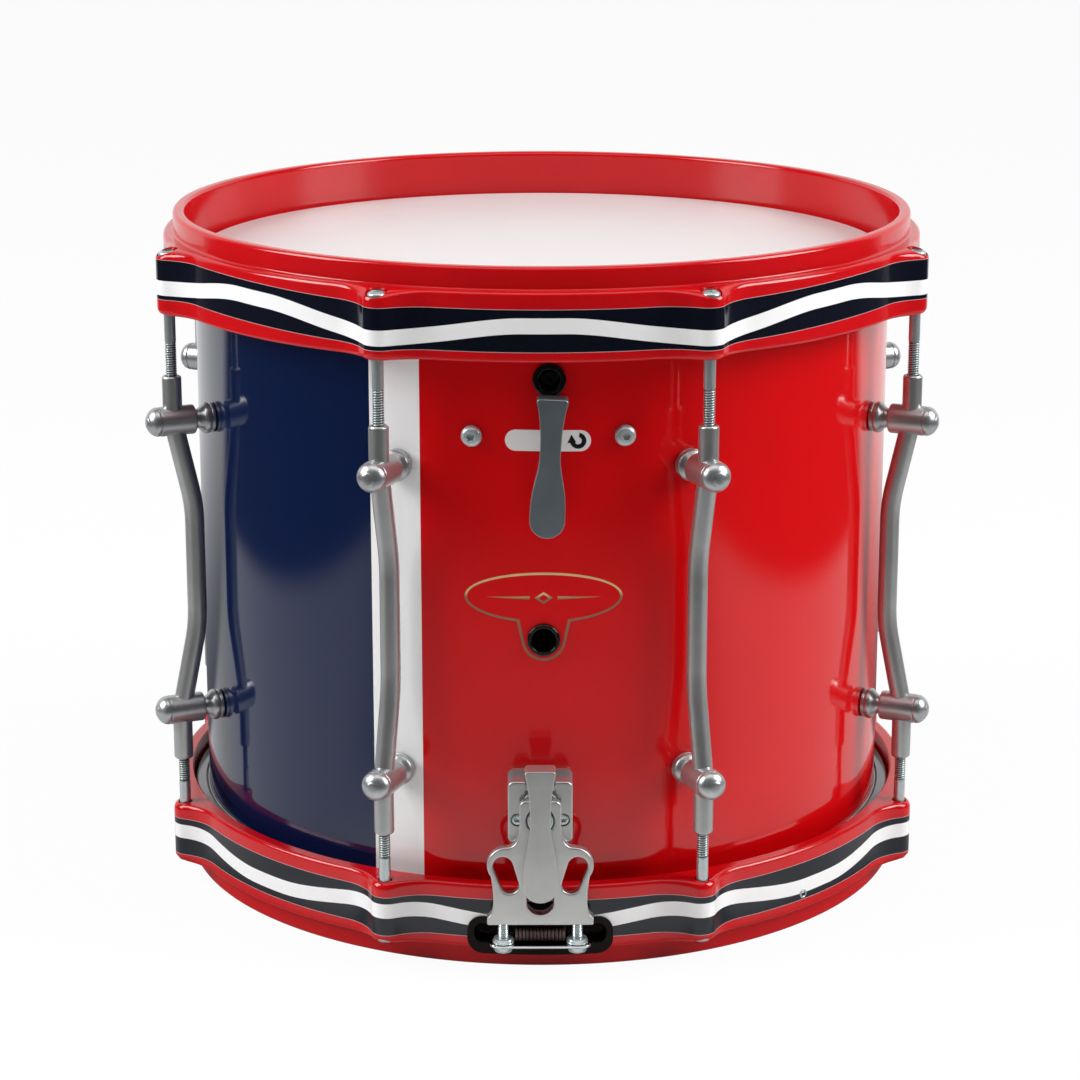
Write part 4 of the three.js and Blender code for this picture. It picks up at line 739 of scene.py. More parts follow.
BEARING_MIDDLE, BEARING_HALF_WIDTH, BEARING_DEPTH = SHELL_INNER + 3.4, 1.2, 3.2
LACQUER_DEPTH = 1.5
VENT_HEIGHT, BUSH_HEIGHT, BUSH_OFFSET = 160.8, 285.4, 2.6
GROMMET_BARREL, GROMMET_PLAY, PIVOT_BORE = 6, 0.2, 3.4
PIVOT_HEIGHT, PIVOT_OFFSET = 271.8, 3.8
FRAME_SCREW_HEIGHT, FRAME_SCREW_MIDDLE, FRAME_SCREW_SPACING = 258.3, 2.2, 70.6
VENT_PLACE = moved(z=VENT_HEIGHT) @ FRONT
BUSH_PLACE = moved(x=BUSH_OFFSET, z=BUSH_HEIGHT) @ FRONT
PIVOT_PLACE = moved(x=PIVOT_OFFSET, z=PIVOT_HEIGHT)
STRAINER_PLACE = moved(x=-1.7)
BUTT_PLACE = STRAINER_PLACE @ turn_about_z(180)


def shell_profile():
    """The wall's section, with a narrow bearing edge at each end."""
    near, far = BEARING_MIDDLE - BEARING_HALF_WIDTH, BEARING_MIDDLE + BEARING_HALF_WIDTH
    low, high = SHELL_LOW + BEARING_DEPTH, SHELL_HIGH - BEARING_DEPTH
    return [(SHELL_INNER, low), (near, SHELL_LOW), (far, SHELL_LOW), (SHELL_RADIUS, low),
            (SHELL_RADIUS, high), (far, SHELL_HIGH), (near, SHELL_HIGH), (SHELL_INNER, high)]


def frame_screw_angles():
    half = FRAME_SCREW_SPACING / 2
    sides = [math.degrees(math.asin((FRAME_SCREW_MIDDLE + s * half) / SHELL_RADIUS)) for s in (-1, 1)]
    return [*sides, 180.0]


def make_shell():
    shell = turned("drum_shell", shell_profile(), 288, ring=True)
    reach = (SHELL_INNER - OVERRUN, SHELL_RADIUS + OVERRUN)
    tools = [bar(GROMMET_BARREL + GROMMET_PLAY, *reach, place) for place in (VENT_PLACE, BUSH_PLACE)]
    combined(shell, tools + [bar(PIVOT_BORE, *reach, PIVOT_PLACE @ FRONT)])
    finished(shell, LACQUER, stands_for=["shell"])
    shell.data.materials.append(PLY)
    limit = (SHELL_RADIUS - LACQUER_DEPTH) * MM
    for face in shell.data.polygons:
        centre = face.center
        if math.hypot(centre.x, centre.y) < limit:
            face.material_index = 1


# Heads and flesh hoops

FILM_TOP, FILM_THICKNESS, FILM_INNER, FILM_SKIRT, FILM_CROWN = HEIGHT - 22.5, 0.5, SHELL_SEAT, 13.2, 3.4
FILM_RINGS = (0.4, 60, 120, 165)
FLESH_LOW, FLESH_HIGH, FLESH_INNER, FLESH_OUTER = 303.3, 312, 178.1, 184.5
FLESH_ROUND, FLESH_CHAMFER = 1.5, 0.8


def head_profile():
    """A flat film whose rim bends down over the shell's edge."""
    outer, under = FILM_INNER + FILM_THICKNESS, FILM_TOP - FILM_THICKNESS
    crown = (outer - FILM_CROWN, FILM_TOP - FILM_CROWN)
    return ([(radius, FILM_TOP) for radius in FILM_RINGS] + arc(*crown, FILM_CROWN, 90, 0, 8)
            + [(outer, FILM_TOP - FILM_SKIRT), (FILM_INNER, FILM_TOP - FILM_SKIRT)]
            + arc(*crown, FILM_CROWN - FILM_THICKNESS, 0, 90, 8)
            + [(FILM_RINGS[-1], under), (FILM_RINGS[0], under)])


def flesh_hoop_profile():
    low, high, inner, edge = FLESH_LOW, FLESH_HIGH, FLESH_INNER, FLESH_INNER + FLESH_CHAMFER
    middle = FLESH_OUTER - FLESH_ROUND
    return ([(inner, low + FLESH_CHAMFER), (edge, low)]
            + arc(middle, low + FLESH_ROUND, FLESH_ROUND, -90, 0, 4)
            + arc(middle, high - FLESH_ROUND, FLESH_ROUND, 0, 90, 4)
            + [(edge, high), (inner, high - FLESH_CHAMFER)])


def make_heads():
    for prefix, side in (("batter", Matrix.Identity(4)), ("snare", FLIP)):
        film = turned(f"{prefix}_film", head_profile(), 192, side)
        finished(film, FILM, stands_for=[f"{prefix}_head"])
        ring = turned(f"{prefix}_film_ring", flesh_hoop_profile(), 192, side, ring=True)
        finished(ring, FLESH_HOOP_IN_SHADE, stands_for=[f"{prefix}_flesh_hoop"])


# Counter hoops

BOSS_RADIUS, BOSS_REACH, FLANK_RADIUS = 8, 203.2, 30
COLLAR_OUTER, COLLAR_INNER, LIP_ROUND = 187, 181, 1.9
RING_TOP, RING_LOW, RING_INNER, SHOULDER = 328.5, 296, 185, 312.3
RING_TOP_ROUND, RING_LOW_ROUND, COLLAR_FILLET = 2.2, 1.8, 1.0
BOSS_SLOPE_WIDTH, BOSS_SLOPE_DROP, BOSS_LOW_EXTRA = 9.6, 2.6, 1.8
ROD_CIRCLE, ROD_BORE, HEAD_BORE, HEAD_BORE_FLOOR = 197.5, 3.6, 5.2, 321.4
GATE_WIDTH, GATE_LOW, GATE_HIGH, GATE_CORNER = 69.5, 10.9, 27.3, 7.4
GATE_HOLE_LAP, GATE_SLEEVE_LAP, GATE_RIM = 1.6, 1.9, 3.2
GATE_FLANGE_DROP, GATE_FLANGE_DEPTH = 2.2, 1.1
GATE_REACH = (176, 206)


def flank_geometry():
    """The boss arc's centre, the flank arc's centre, and the angles where they take over."""
    boss_centre = BOSS_REACH - BOSS_RADIUS
    flank_centre = ROUND + FLANK_RADIUS
    apart = BOSS_RADIUS + FLANK_RADIUS
    cosine = (flank_centre ** 2 + boss_centre ** 2 - apart ** 2) / (2 * flank_centre * boss_centre)
    flank_spread = math.acos(cosine)
    share = BOSS_RADIUS / apart
    across = share * flank_centre * math.sin(flank_spread)
    along = boss_centre + share * (flank_centre * math.cos(flank_spread) - boss_centre)
    return boss_centre, flank_centre, math.atan2(across, along), flank_spread


def hoop_radius(angle):
    """The hoop's outer radius at an angle from its nearest boss."""
    boss_centre, flank_centre, boss_spread, flank_spread = flank_geometry()
    off = abs(angle)
    if off >= flank_spread:
        return ROUND
    if off <= boss_spread:
        return boss_centre * math.cos(off) + math.sqrt(BOSS_RADIUS ** 2 - (boss_centre * math.sin(off)) ** 2)
    back = flank_spread - off
    return flank_centre * math.cos(back) - math.sqrt(FLANK_RADIUS ** 2 - (flank_centre * math.sin(back)) ** 2)


def hoop_angles():
    """Angles from a boss, close together where the outline bends."""
    _, _, boss_spread, flank_spread = flank_geometry()
    half = [0.0]
    for until, steps in ((boss_spread, 9), (flank_spread, 10), (math.radians(STATION / 2), 9)):
        start = half[-1]
        half += [start + (until - start) * k / steps for k in range(1, steps + 1)]
    return [-a for a in reversed(half[1:-1])] + half


def hoop_section(reach):
    """The hoop's closed section, its outer face at a radius. Its top rolls off wider at a boss."""
    share = (reach - ROUND) / (BOSS_REACH - ROUND)
    wide, deep = RING_TOP_ROUND + share * BOSS_SLOPE_WIDTH, RING_TOP_ROUND + share * BOSS_SLOPE_DROP
    low, lip, foot, edge = RING_LOW_ROUND + share * BOSS_LOW_EXTRA, LIP_ROUND, COLLAR_FILLET, 0.5
    roll = [(reach - wide + wide * math.cos(a), RING_TOP - deep + deep * math.sin(a))
            for a in (math.pi / 2 * k / 9 for k in range(10))]
    return ([(RING_INNER, RING_LOW + 0.8), (RING_INNER + 0.8, RING_LOW)]
            + arc(reach - low, RING_LOW + low, low, -90, 0, 5) + [(reach, RING_LOW + low + edge)]
            + [(reach, RING_TOP - deep - edge)] + roll
            + arc(COLLAR_OUTER + foot, RING_TOP + foot, foot, 270, 180, 5)
            + [(COLLAR_OUTER, RING_TOP + foot + edge)]
            + [(COLLAR_OUTER, HEIGHT - lip - edge)] + arc(COLLAR_OUTER - lip, HEIGHT - lip, lip, 0, 90, 7)
            + arc(COLLAR_INNER + lip, HEIGHT - lip, lip, 90, 180, 7) + [(COLLAR_INNER, HEIGHT - lip - edge)]
            + [(COLLAR_INNER, SHOULDER + 0.6), (COLLAR_INNER + 0.6, SHOULDER),
               (RING_INNER, SHOULDER), (RING_INNER, SHOULDER - 0.6)])


def hoop_body(name):
    rings = []
    for station in range(STATIONS):
        for angle in hoop_angles():
            turn = math.radians(STATION * (station + 0.5)) + angle
            section = hoop_section(hoop_radius(angle))
            rings.append([(r * math.sin(turn), -r * math.cos(turn), z) for r, z in section])
    points, faces = ring_skin(rings, True)
    hoop = mesh_object(name, points, faces)
    tools = []
    for station in range(STATIONS):
        place = turn_about_z(STATION * (station + 0.5)) @ moved(y=-ROD_CIRCLE)
        bore = [(ROD_BORE, RING_LOW - OVERRUN), (ROD_BORE, HEAD_BORE_FLOOR)]
        bore += [(HEAD_BORE, HEAD_BORE_FLOOR), (HEAD_BORE, RING_TOP + OVERRUN)]
        tools.append(turned("tool", bore, 40, place))
    return combined(hoop, tools)


def gate_outline(inset):
    """The gate in the lower hoop, drawn in from its edge by an inset."""
    return rounded(GATE_WIDTH - 2 * inset, GATE_LOW + inset, GATE_HIGH - inset, GATE_CORNER - inset)


def round_wall(inner, outer):
    """A ring round the drum's axis, taller than the lower hoop's gate."""
    return turned("tool", [(inner, 0), (outer, 0), (outer, 40), (inner, 40)], 256, ring=True)


def make_hoops():
    finished(hoop_body("upper_hoop"), UPPER_ENAMEL, stands_for=["batter_hoop"])
    lower = copied(hoop_body("hoop_pattern"), "lower_hoop", FLIP)
    bpy.data.objects.remove(bpy.data.objects["hoop_pattern"])
    hole = gate_outline(GATE_HOLE_LAP)
    combined(lower, [plate("tool", [hole], 178, 205, 0.0, place) for place in (STRAINER_PLACE, BUTT_PLACE)])
    finished(lower, LOWER_ENAMEL, stands_for=["snare_hoop"])


def make_gate_liners():
    face = ROUND + SEAT_GAP
    bore = gate_outline(GATE_RIM)
    for name, place in (("front", STRAINER_PLACE), ("rear", BUTT_PLACE)):
        outline = rounded(GATE_WIDTH, GATE_LOW - GATE_FLANGE_DROP, GATE_HIGH, GATE_CORNER)
        flange = plate("flange", [outline, bore], *GATE_REACH, 0.0, place)
        combined(flange, [round_wall(face, face + GATE_FLANGE_DEPTH)], "INTERSECT")
        sleeve = plate("sleeve", [gate_outline(GATE_SLEEVE_LAP), bore], *GATE_REACH, 0.0, place)
        combined(sleeve, [round_wall(COLLAR_INNER + SEAT_GAP, face + SEAT_GAP)], "INTERSECT")
        liner = merged(f"{name}_gate_trim", [flange, sleeve])
        finished(liner, LINER, stands_for=[f"{name}_gate_liner"])


# Tension rods

ROD_RADIUS, THREAD_DEPTH, THREAD_PITCH = 2.8, 0.42, 1.18
ROD_HEAD_TOP = RING_TOP - 1.8
ROD_HEAD_SEAT = ROD_HEAD_TOP - 5
SLEEVE_TOP, SLEEVE_LOW = 265.2, 66.8
ROD_GRIP, ROD_NECK = 15, 2.5
UPPER_THREAD, LOWER_THREAD = 31.5, 26.8


def threaded_rings(low, high, sides):
    """Rings of a screw thread, each about one twelfth of a turn on from the last."""
    rings = []
    count = int((high - low) / THREAD_PITCH * 12)
    for k in range(count + 1):
        height = low + (high - low) * k / count
        points = []
        for i in range(sides):
            angle = 2 * math.pi * i / sides
            phase = (height / THREAD_PITCH - i / sides) % 1
            depth = THREAD_DEPTH * abs(2 * phase - 1) * 2 - THREAD_DEPTH / 2
            radius = ROD_RADIUS - min(max(depth, 0), THREAD_DEPTH)
            points.append((radius * math.cos(angle), radius * math.sin(angle), height))
        rings.append(points)
    return rings


def rod_body(name, sleeve_end, thread):
    """A rod with its round socket head, drawn for the upper side."""
    sides = 24
    end = sleeve_end - ROD_GRIP

    def level(radius, height, hexed=False):
        angles = [2 * math.pi * i / sides for i in range(sides)]
        reach = [hex_radius(radius, a) if hexed else radius for a in angles]
        return [(r * math.cos(a), r * math.sin(a), height) for r, a in zip(reach, angles)]

    visible = sleeve_end - 2
    rings = [level(1.8, end), level(ROD_NECK, end + 1), level(ROD_NECK, visible - 0.2)]
    rings += threaded_rings(visible, end + thread, sides)
    seat, top = ROD_HEAD_SEAT, ROD_HEAD_TOP
    smooth = [(ROD_NECK, end + thread + 0.3), (ROD_RADIUS, end + thread + 0.9), (ROD_RADIUS, seat - 0.2),
              (3.4, seat), (4.3, seat), (4.5, seat + 0.3), (4.5, top - 0.9), (4.3, top - 0.3),
              (3.8, top + 0.25), (3.1, top + 0.6)]
    rings += [level(r, z) for r, z in smooth]
    crown = top + 0.7
    rings += [level(r, crown - down, True) for r, down in ((2.5, 0), (2.4, 0.4), (2.4, 3))]
    points, faces = ring_skin(rings, False)
    rod = mesh_object(name, points, faces)
    # How deep each point lies in the thread, for the painted shade in the roots
    root_shade = rod.data.attributes.new("thread_root_shade", "FLOAT", "POINT")
    for vertex in rod.data.vertices:
        if vertex.co.z < ROD_HEAD_SEAT - 1:
            depth = ROD_RADIUS - math.hypot(vertex.co.x, vertex.co.y)
            root_shade.data[vertex.index].value = min(max(depth / THREAD_DEPTH, 0.0), 1.0)
    return rod


def make_rods():
    kinds = (("batter", SLEEVE_TOP, UPPER_THREAD, Matrix.Identity(4)),
             ("snare", HEIGHT - SLEEVE_LOW, LOWER_THREAD, FLIP))
    for prefix, sleeve_end, thread, side in kinds:
        pattern = rod_body("rod_pattern", sleeve_end, thread)
        for station in range(STATIONS):
            angle = STATION * (station + 0.5)
            at = angle if prefix == "batter" else 180 - angle
            name = f"{prefix}_rod_{station + 1}"
            place = side @ turn_about_z(at) @ moved(y=-ROD_CIRCLE)
            rod = copied(pattern, f"{prefix}_key_rod_{station + 1}", place)
            finished(rod, ROD_ZINC, name, stands_for=[name], sharp=40)
        bpy.data.objects.remove(pattern)


# Posts

UPPER_BARREL, LOWER_BARREL = 242.5, 92.9
UPPER_KNEE, LOWER_KNEE = 199, 137
POST_DRAWN = 188
TUBE_RADIUS, TUBE_BORE, TUBE_BORE_DEPTH = 4.8, 3.2, 19
KNEE_ROUND, KNEE_LEAD = 9, 10


def post_path():
    """The tube's centre line: out at the barrels, drawn in towards the shell between them."""
    out = ROD_CIRCLE
    ends = [(-out, LOWER_BARREL - KNEE_LEAD), (-out, LOWER_BARREL), (-POST_DRAWN, LOWER_KNEE),
            (-POST_DRAWN, UPPER_KNEE), (-out, UPPER_BARREL), (-out, UPPER_BARREL + KNEE_LEAD)]
    rim = ((0, 0.7), (0.5, 0.15), (1.1, 0))
    path = [(-out, SLEEVE_LOW + along, TUBE_RADIUS - drawn) for along, drawn in rim] + ends[:1]
    for before, knot, after in zip(ends, ends[1:], ends[2:]):
        start = Vector(knot) + (Vector(before) - Vector(knot)).normalized() * KNEE_ROUND
        end = Vector(knot) + (Vector(after) - Vector(knot)).normalized() * KNEE_ROUND
        path.append(tuple(start))
        path += quadratic(tuple(start), knot, tuple(end), 8)
    top_rim = [(-out, SLEEVE_TOP - along, TUBE_RADIUS - drawn) for along, drawn in reversed(rim)]
    return path + ends[-1:] + top_rim


def standoff(height):
    """A turned standoff along the radius: rimmed flange, hollow waist, barrel, groove and domed cap."""
    s, cap, nose = SHELL_SEAT, 27.9, 5.8
    profile = [(0.3, s), (7.1, s), (7.4, s + 0.3), (7.4, s + 1.3), (7.1, s + 1.6), (7.1, s + 1.9),
               (7.55, s + 2.2), (7.75, s + 2.8), (7.75, s + 3.9), (7.5, s + 4.6), (6.9, s + 5.3),
               (6.1, s + 6.0), (5.3, s + 6.9), (4.85, s + 7.8), (4.7, s + 8.6), (4.7, s + 9.3),
               (6.4, s + 9.3), (7.1, s + 9.7), (7.35, s + 10.4), (7.35, s + cap - 1.2),
               (7.15, s + cap - 0.8), (6.85, s + cap - 0.7), (6.85, s + cap - 0.3),
               (7.15, s + cap - 0.2)]
    dome = [math.radians(6 * k) for k in range(11)]
    profile += [(7.25 * math.cos(a), s + cap + 0.1 + nose * math.sin(a)) for a in dome]
    profile += [(3.4, s + cap + nose - 0.62), (3.2, s + cap + nose - 0.4), (2.6, s + cap + nose - 0.1),
                (1.6, s + cap + nose + 0.1), (0.3, s + cap + nose + 0.15)]
    return turned("standoff", profile, 56, moved(z=height) @ FRONT)


def post_tube():
    tube = sweep("rod_posts", post_path(), TUBE_RADIUS)
    at = moved(y=-ROD_CIRCLE)
    return combined(tube, [bar(TUBE_BORE, SLEEVE_TOP - TUBE_BORE_DEPTH, SLEEVE_TOP + OVERRUN, at, 32),
                           bar(TUBE_BORE, SLEEVE_LOW - OVERRUN, SLEEVE_LOW + TUBE_BORE_DEPTH, at, 32)])


# Geometry Nodes that repeat a piece

def repeating_tree(name, numbers):
    """An open tree with number inputs and a finish: its nodes, inputs, end and input identifiers."""
    tree = bpy.data.node_groups.new(name, "GeometryNodeTree")
    add = tree.interface.new_socket
    add(name="Geometry", in_out="INPUT", socket_type="NodeSocketGeometry")
    sizes = {label: add(name=label, in_out="INPUT", socket_type=kind) for label, kind in numbers.items()}
    sizes["Finish"] = add(name="Finish", in_out="INPUT", socket_type="NodeSocketMaterial")
    add(name="Geometry", in_out="OUTPUT", socket_type="NodeSocketGeometry")
    n = Nodes(tree)
    entry, leave = n.put("NodeGroupInput").outputs, n.put("NodeGroupOutput").inputs[0]
    return n, entry, leave, {label: socket.identifier for label, socket in sizes.items()}


def close_tree(n, copies, entry, leave):
    """Makes the copies real, gives them their finish and hands them on."""
    real = n.put("GeometryNodeRealizeInstances", {"Geometry": copies})
    done = n.put("GeometryNodeSetMaterial", {"Geometry": real.outputs[0], "Material": entry["Finish"]})
    n.feed(leave, done.outputs[0])


def ring_of_copies(name):
    """Sets copies of the object's own mesh round the drum's axis."""
    numbers = {"Count": "NodeSocketInt", "First angle": "NodeSocketFloat"}
    n, entry, leave, sockets = repeating_tree(name, numbers)
    line = n.put("GeometryNodeMeshLine", {"Count": entry["Count"], "Offset": (0, 0, 0)})
    step = n.math("DIVIDE", 2 * math.pi, entry["Count"])
    turn = n.math("MULTIPLY_ADD", n.put("GeometryNodeInputIndex").outputs[0], step, entry["First angle"])
    about = n.put("ShaderNodeCombineXYZ", {"Z": turn})
    rotation = n.put("FunctionNodeEulerToRotation", {0: about.outputs[0]})
    spread = n.put("GeometryNodeInstanceOnPoints", {
        "Points": line.outputs["Mesh"], "Instance": entry["Geometry"], "Rotation": rotation.outputs[0]})
    close_tree(n, spread.outputs["Instances"], entry, leave)
    return n.tree, sockets


def strand_rows(name):
    """Lays strands side by side along the object's own curve."""
    n, entry, leave, sockets = repeating_tree(name, {
        "Count": "NodeSocketInt", "Spacing": "NodeSocketFloat", "Radius": "NodeSocketFloat"})
    curve = n.put("GeometryNodeMeshToCurve", {"Mesh": entry["Geometry"]})
    section = n.put("GeometryNodeCurvePrimitiveCircle", {"Resolution": 8, "Radius": entry["Radius"]})
    strand = n.put("GeometryNodeCurveToMesh", {
        "Curve": curve.outputs[0], "Profile Curve": section.outputs[0], "Fill Caps": True})
    step = n.put("ShaderNodeCombineXYZ", {"X": entry["Spacing"]})
    half = n.math("MULTIPLY", n.math("SUBTRACT", entry["Count"], 1.0), -0.5)
    start = n.put("ShaderNodeCombineXYZ", {"X": n.math("MULTIPLY", half, entry["Spacing"])})
    line = n.put("GeometryNodeMeshLine", {
        "Count": entry["Count"], "Start Location": start.outputs[0], "Offset": step.outputs[0]})
    spread = n.put("GeometryNodeInstanceOnPoints", {
        "Points": line.outputs["Mesh"], "Instance": strand.outputs[0]})
    close_tree(n, spread.outputs["Instances"], entry, leave)
    return n.tree, sockets


def repeated(obj, tree, sockets, values):
    """The object with a tree's copies in its mesh. Every input of the tree is given."""
    modifier = obj.modifiers.new("repeat", "NODES")
    modifier.node_group = tree
    for label, value in values.items():
        modifier[sockets[label]] = value
    return baked(obj)


def make_posts():
    standoffs = merged("post_standoffs", [standoff(UPPER_BARREL), standoff(LOWER_BARREL)])
    nodes = [f"lug_{k + 1}" for k in range(STATIONS)]
    for piece, finish in ((post_tube(), SATIN_GREY), (standoffs, TURNED)):
        repeated(piece, *ring_of_copies(f"{piece.name} round the drum"), {
            "Count": STATIONS, "First angle": math.radians(STATION / 2), "Finish": finish})
        finished(piece, finish, stands_for=nodes)


# Grommets and round screws

GROMMET_FLANGE, GROMMET_FACE = 7.8, SHELL_SEAT + 2
VENT_BORE, BUSH_BORE = 4.75, 3.9
KEY_SCREW_SEAT = 171.5

# Socket screws: the head's radius, height and crown, the shank's radius and length,
# the socket's half width and depth
KEY_SCREW = (3.2, 4, 0.5, 2, 10.4, 1.6, 2)
FRAME_SCREW = (5, 3.2, 2.6, 2.4, 15, 1.75, 1.6)
CENTRE_SCREW = (6.2, 2.2, 0.6, 2.5, 11, 2.1, 1.3)
BODY_SCREW = (2.7, 1.9, 0.7, 1.6, 25, 1.35, 1.2)
HOOP_SCREW = (2.3, 1.0, 0.3, 1.4, 3.0, 1.3, 0.8)


def grommet(name, node, bore, place, inner):
    """A barrel through the shell with a rounded flange and a mouth that opens outwards."""
    seat, face, flange = SHELL_SEAT, GROMMET_FACE, GROMMET_FLANGE
    outer_round, bore_round = 1.0, 0.7
    mouth = bore + 1.1
    profile = ([(bore, inner), (GROMMET_BARREL, inner), (GROMMET_BARREL, seat), (flange, seat)]
               + arc(flange - outer_round, face - outer_round, outer_round, 0, 90, 8)
               + arc(mouth + bore_round, face - bore_round, bore_round, 90, 180, 8)
               + [(mouth, face - 2.4), (bore + 0.5, face - 3.8), (bore, face - 5)])
    ring = turned(name, profile, 56, place, ring=True)
    finished(ring, BLACK, stands_for=[node])


def socket_screw(name, sizes, transform, segments=48):
    """A round-headed screw with a hexagon socket, its head's underside at zero."""
    head, height, crown, shank, length, socket, depth = sizes
    profile = [(0.2, -length), (shank - 0.3, -length), (shank, -length + 0.4), (shank, -0.05)]
    profile += [(head - 0.15, 0), (head, 0.2)] + arc(head - crown, height - crown, crown, 0, 90, 7)
    profile += [(socket + 0.15, height, "hex"), (socket, height - 0.15, "hex"),
                (socket, height - depth, "hex"), (0.2, height - depth - 0.3)]
    return turned(name, profile, segments, transform)


def make_shell_fittings():
    grommet("vent_ring", "vent_grommet", VENT_BORE, VENT_PLACE, SHELL_INNER - 2)
    grommet("key_ring", "key_bush", BUSH_BORE, BUSH_PLACE, SHELL_INNER + SEAT_GAP)
    key = socket_screw("tension_key_screw", KEY_SCREW, BUSH_PLACE @ moved(z=KEY_SCREW_SEAT))
    # The key screw is drawn near black as painted shade inside the bush
    finished(key, RECESS_SHADE_BLACK, "upper_key_screw", stands_for=["upper_key_screw"])
    for name, angle in zip(("left", "right", "rear"), frame_screw_angles()):
        at = turn_about_z(angle) @ moved(z=FRAME_SCREW_HEIGHT) @ FRONT @ moved(z=SHELL_SEAT)
        screw = socket_screw(f"frame_button_screw_{name}", FRAME_SCREW, at)
        finished(screw, BRIGHT_ZINC, stands_for=[f"frame_screw_{name}"])


# Levers

LEVER_WIDTH, LEVER_WAIST, LEVER_PADDLE, LEVER_CORNER = 14.5, 9.5, 16.4, 1.6
WAIST_SHARE, PADDLE_SHARE = 0.4, 0.82
LEVER_EDGE, LEVER_HEAD_DEPTH = 0.5, 10.3
UPPER_LENGTH, UPPER_BLADE, UPPER_HEAD_HEIGHT = 65.5, 4.5, 14
UPPER_LEVER_FACE, UPPER_LEVER_TILT, UPPER_LEVER_RISE = 190.3, 2.6, 7
LOWER_LENGTH, LOWER_BLADE, LOWER_HEAD_HEIGHT = 65.4, 3.8, 15.2
LOWER_LEVER_FACE, LOWER_LEVER_TOP = 207.1, 105.8


def lever_outline(length):
    """The lever from the front: flared head, drawn-in waist, round paddle. Its top is at zero."""
    half, neck, blade, corner = LEVER_WIDTH / 2, LEVER_WAIST / 2, LEVER_PADDLE / 2, LEVER_CORNER
    waist_drop, paddle_drop = length * WAIST_SHARE, length * PADDLE_SHARE
    side = arc(half - corner, -corner, corner, 90, 0, 8)
    side += bezier(side[-1], (half - 0.9, -corner - 3.4), (neck, -waist_drop + 14.3), (neck, -waist_drop))
    side += bezier(side[-1], (neck, -waist_drop - 9), (blade, -paddle_drop + 12), (blade, -paddle_drop))
    side += arc(0, -length + blade, blade, 0, -90, 14)
    return side + [(-x, y) for x, y in reversed(side[:-1])]


def lever(name, length, face, blade, head_height, transform):
    """A flat blade whose head is deeper, from its top down to the head's height."""
    outline, back = lever_outline(length), face - LEVER_HEAD_DEPTH
    flat = plate(name, [outline], face - blade, face, LEVER_EDGE, transform, 4)
    deep = plate("deep", [outline], back, face, LEVER_EDGE, transform, 4)
    keep = plate("tool", [upright_box(10, -head_height, 5)], back - 5, face - blade / 2, 0.0, transform)
    combined(deep, [keep], "INTERSECT")
    return combined(flat, [deep], "UNION")


def make_upper_throw():
    tilt = Matrix.Rotation(math.radians(UPPER_LEVER_TILT), 4, "Y")
    at = PIVOT_PLACE @ tilt @ moved(z=UPPER_LEVER_RISE)
    blade = lever("upper_throw_lever", UPPER_LENGTH, UPPER_LEVER_FACE, UPPER_BLADE, UPPER_HEAD_HEIGHT, at)
    finished(blade, BLUE_CASTING_IN_SHADE, "upper_throw", stands_for=["upper_lever"])


# Strainer

STRAINER_FACE = 197.5
CARRIAGE_BACK, CARRIAGE_FACE, CARRIAGE_EDGE = 197.9, 202.9, 0.9
CARRIAGE_TONGUE, CARRIAGE_WAIST, CARRIAGE_TOP = 9.85, 22.2, 89.8
BODY_WIDTH, BODY_LOW, BODY_TOP, BUTT_TOP, BODY_ROUND = 30.5, 67, 97.5, 92, 3
CHANNEL_HALF, CHANNEL_FLOOR = 7.3, SHELL_SEAT + 4.2
SCREW_OUT, SCREW_HEIGHT, SCREW_SINK, SCREW_BORE = 10.8, 78.6, 3.2, 1.9
CENTRE_SCREW_HEIGHT = 79.9
FOOT_HALF, FOOT_LOW, FOOT_TOP, FOOT_SHOULDER, FOOT_ROUND = 25.1, 27.9, 36.0, 31.2, 0.8
FOOT_BACK, FOOT_FACE = CARRIAGE_BACK - 1.5, CARRIAGE_FACE - 0.05
ADJUSTER_PLACE, ADJUSTER_SPACING = 200.9, 34.9
CLAMP_WIDTH, CLAMP_HALF_DEPTH, CLAMP_CORNER = 48, 5, 4.2
CLAMP_HALF_THICKNESS, CLAMP_EDGE, CLAMP_HEIGHT, CLAMP_HOLE = 0.6, 0.25, 17.8, 3.0
EAR_WIDTH, EAR_HEIGHT, EAR_RADIUS, EAR_TURN = 50.2, 57.5, 9.2, 36
FINGER_TOP, FINGER_LOW = (17.6, 57.2, 4.7), (14.4, 47.9, 4.3)


def finger_hole(side):
    """A slot between two circles of different size, left or right."""
    (tx, ty, tr), (lx, ly, lr) = FINGER_TOP, FINGER_LOW
    heading = math.degrees(math.atan2(ly - ty, side * (lx - tx)))
    spread = math.degrees(math.acos((tr - lr) / math.hypot(lx - tx, ly - ty)))
    return (arc(side * tx, ty, tr, heading + spread, heading - spread + 360, 20)
            + arc(side * lx, ly, lr, heading - spread, heading + spread, 12))


def foot_corner():
    return arc(FOOT_HALF - FOOT_ROUND, FOOT_LOW + FOOT_ROUND, FOOT_ROUND, 0, -90, 4)


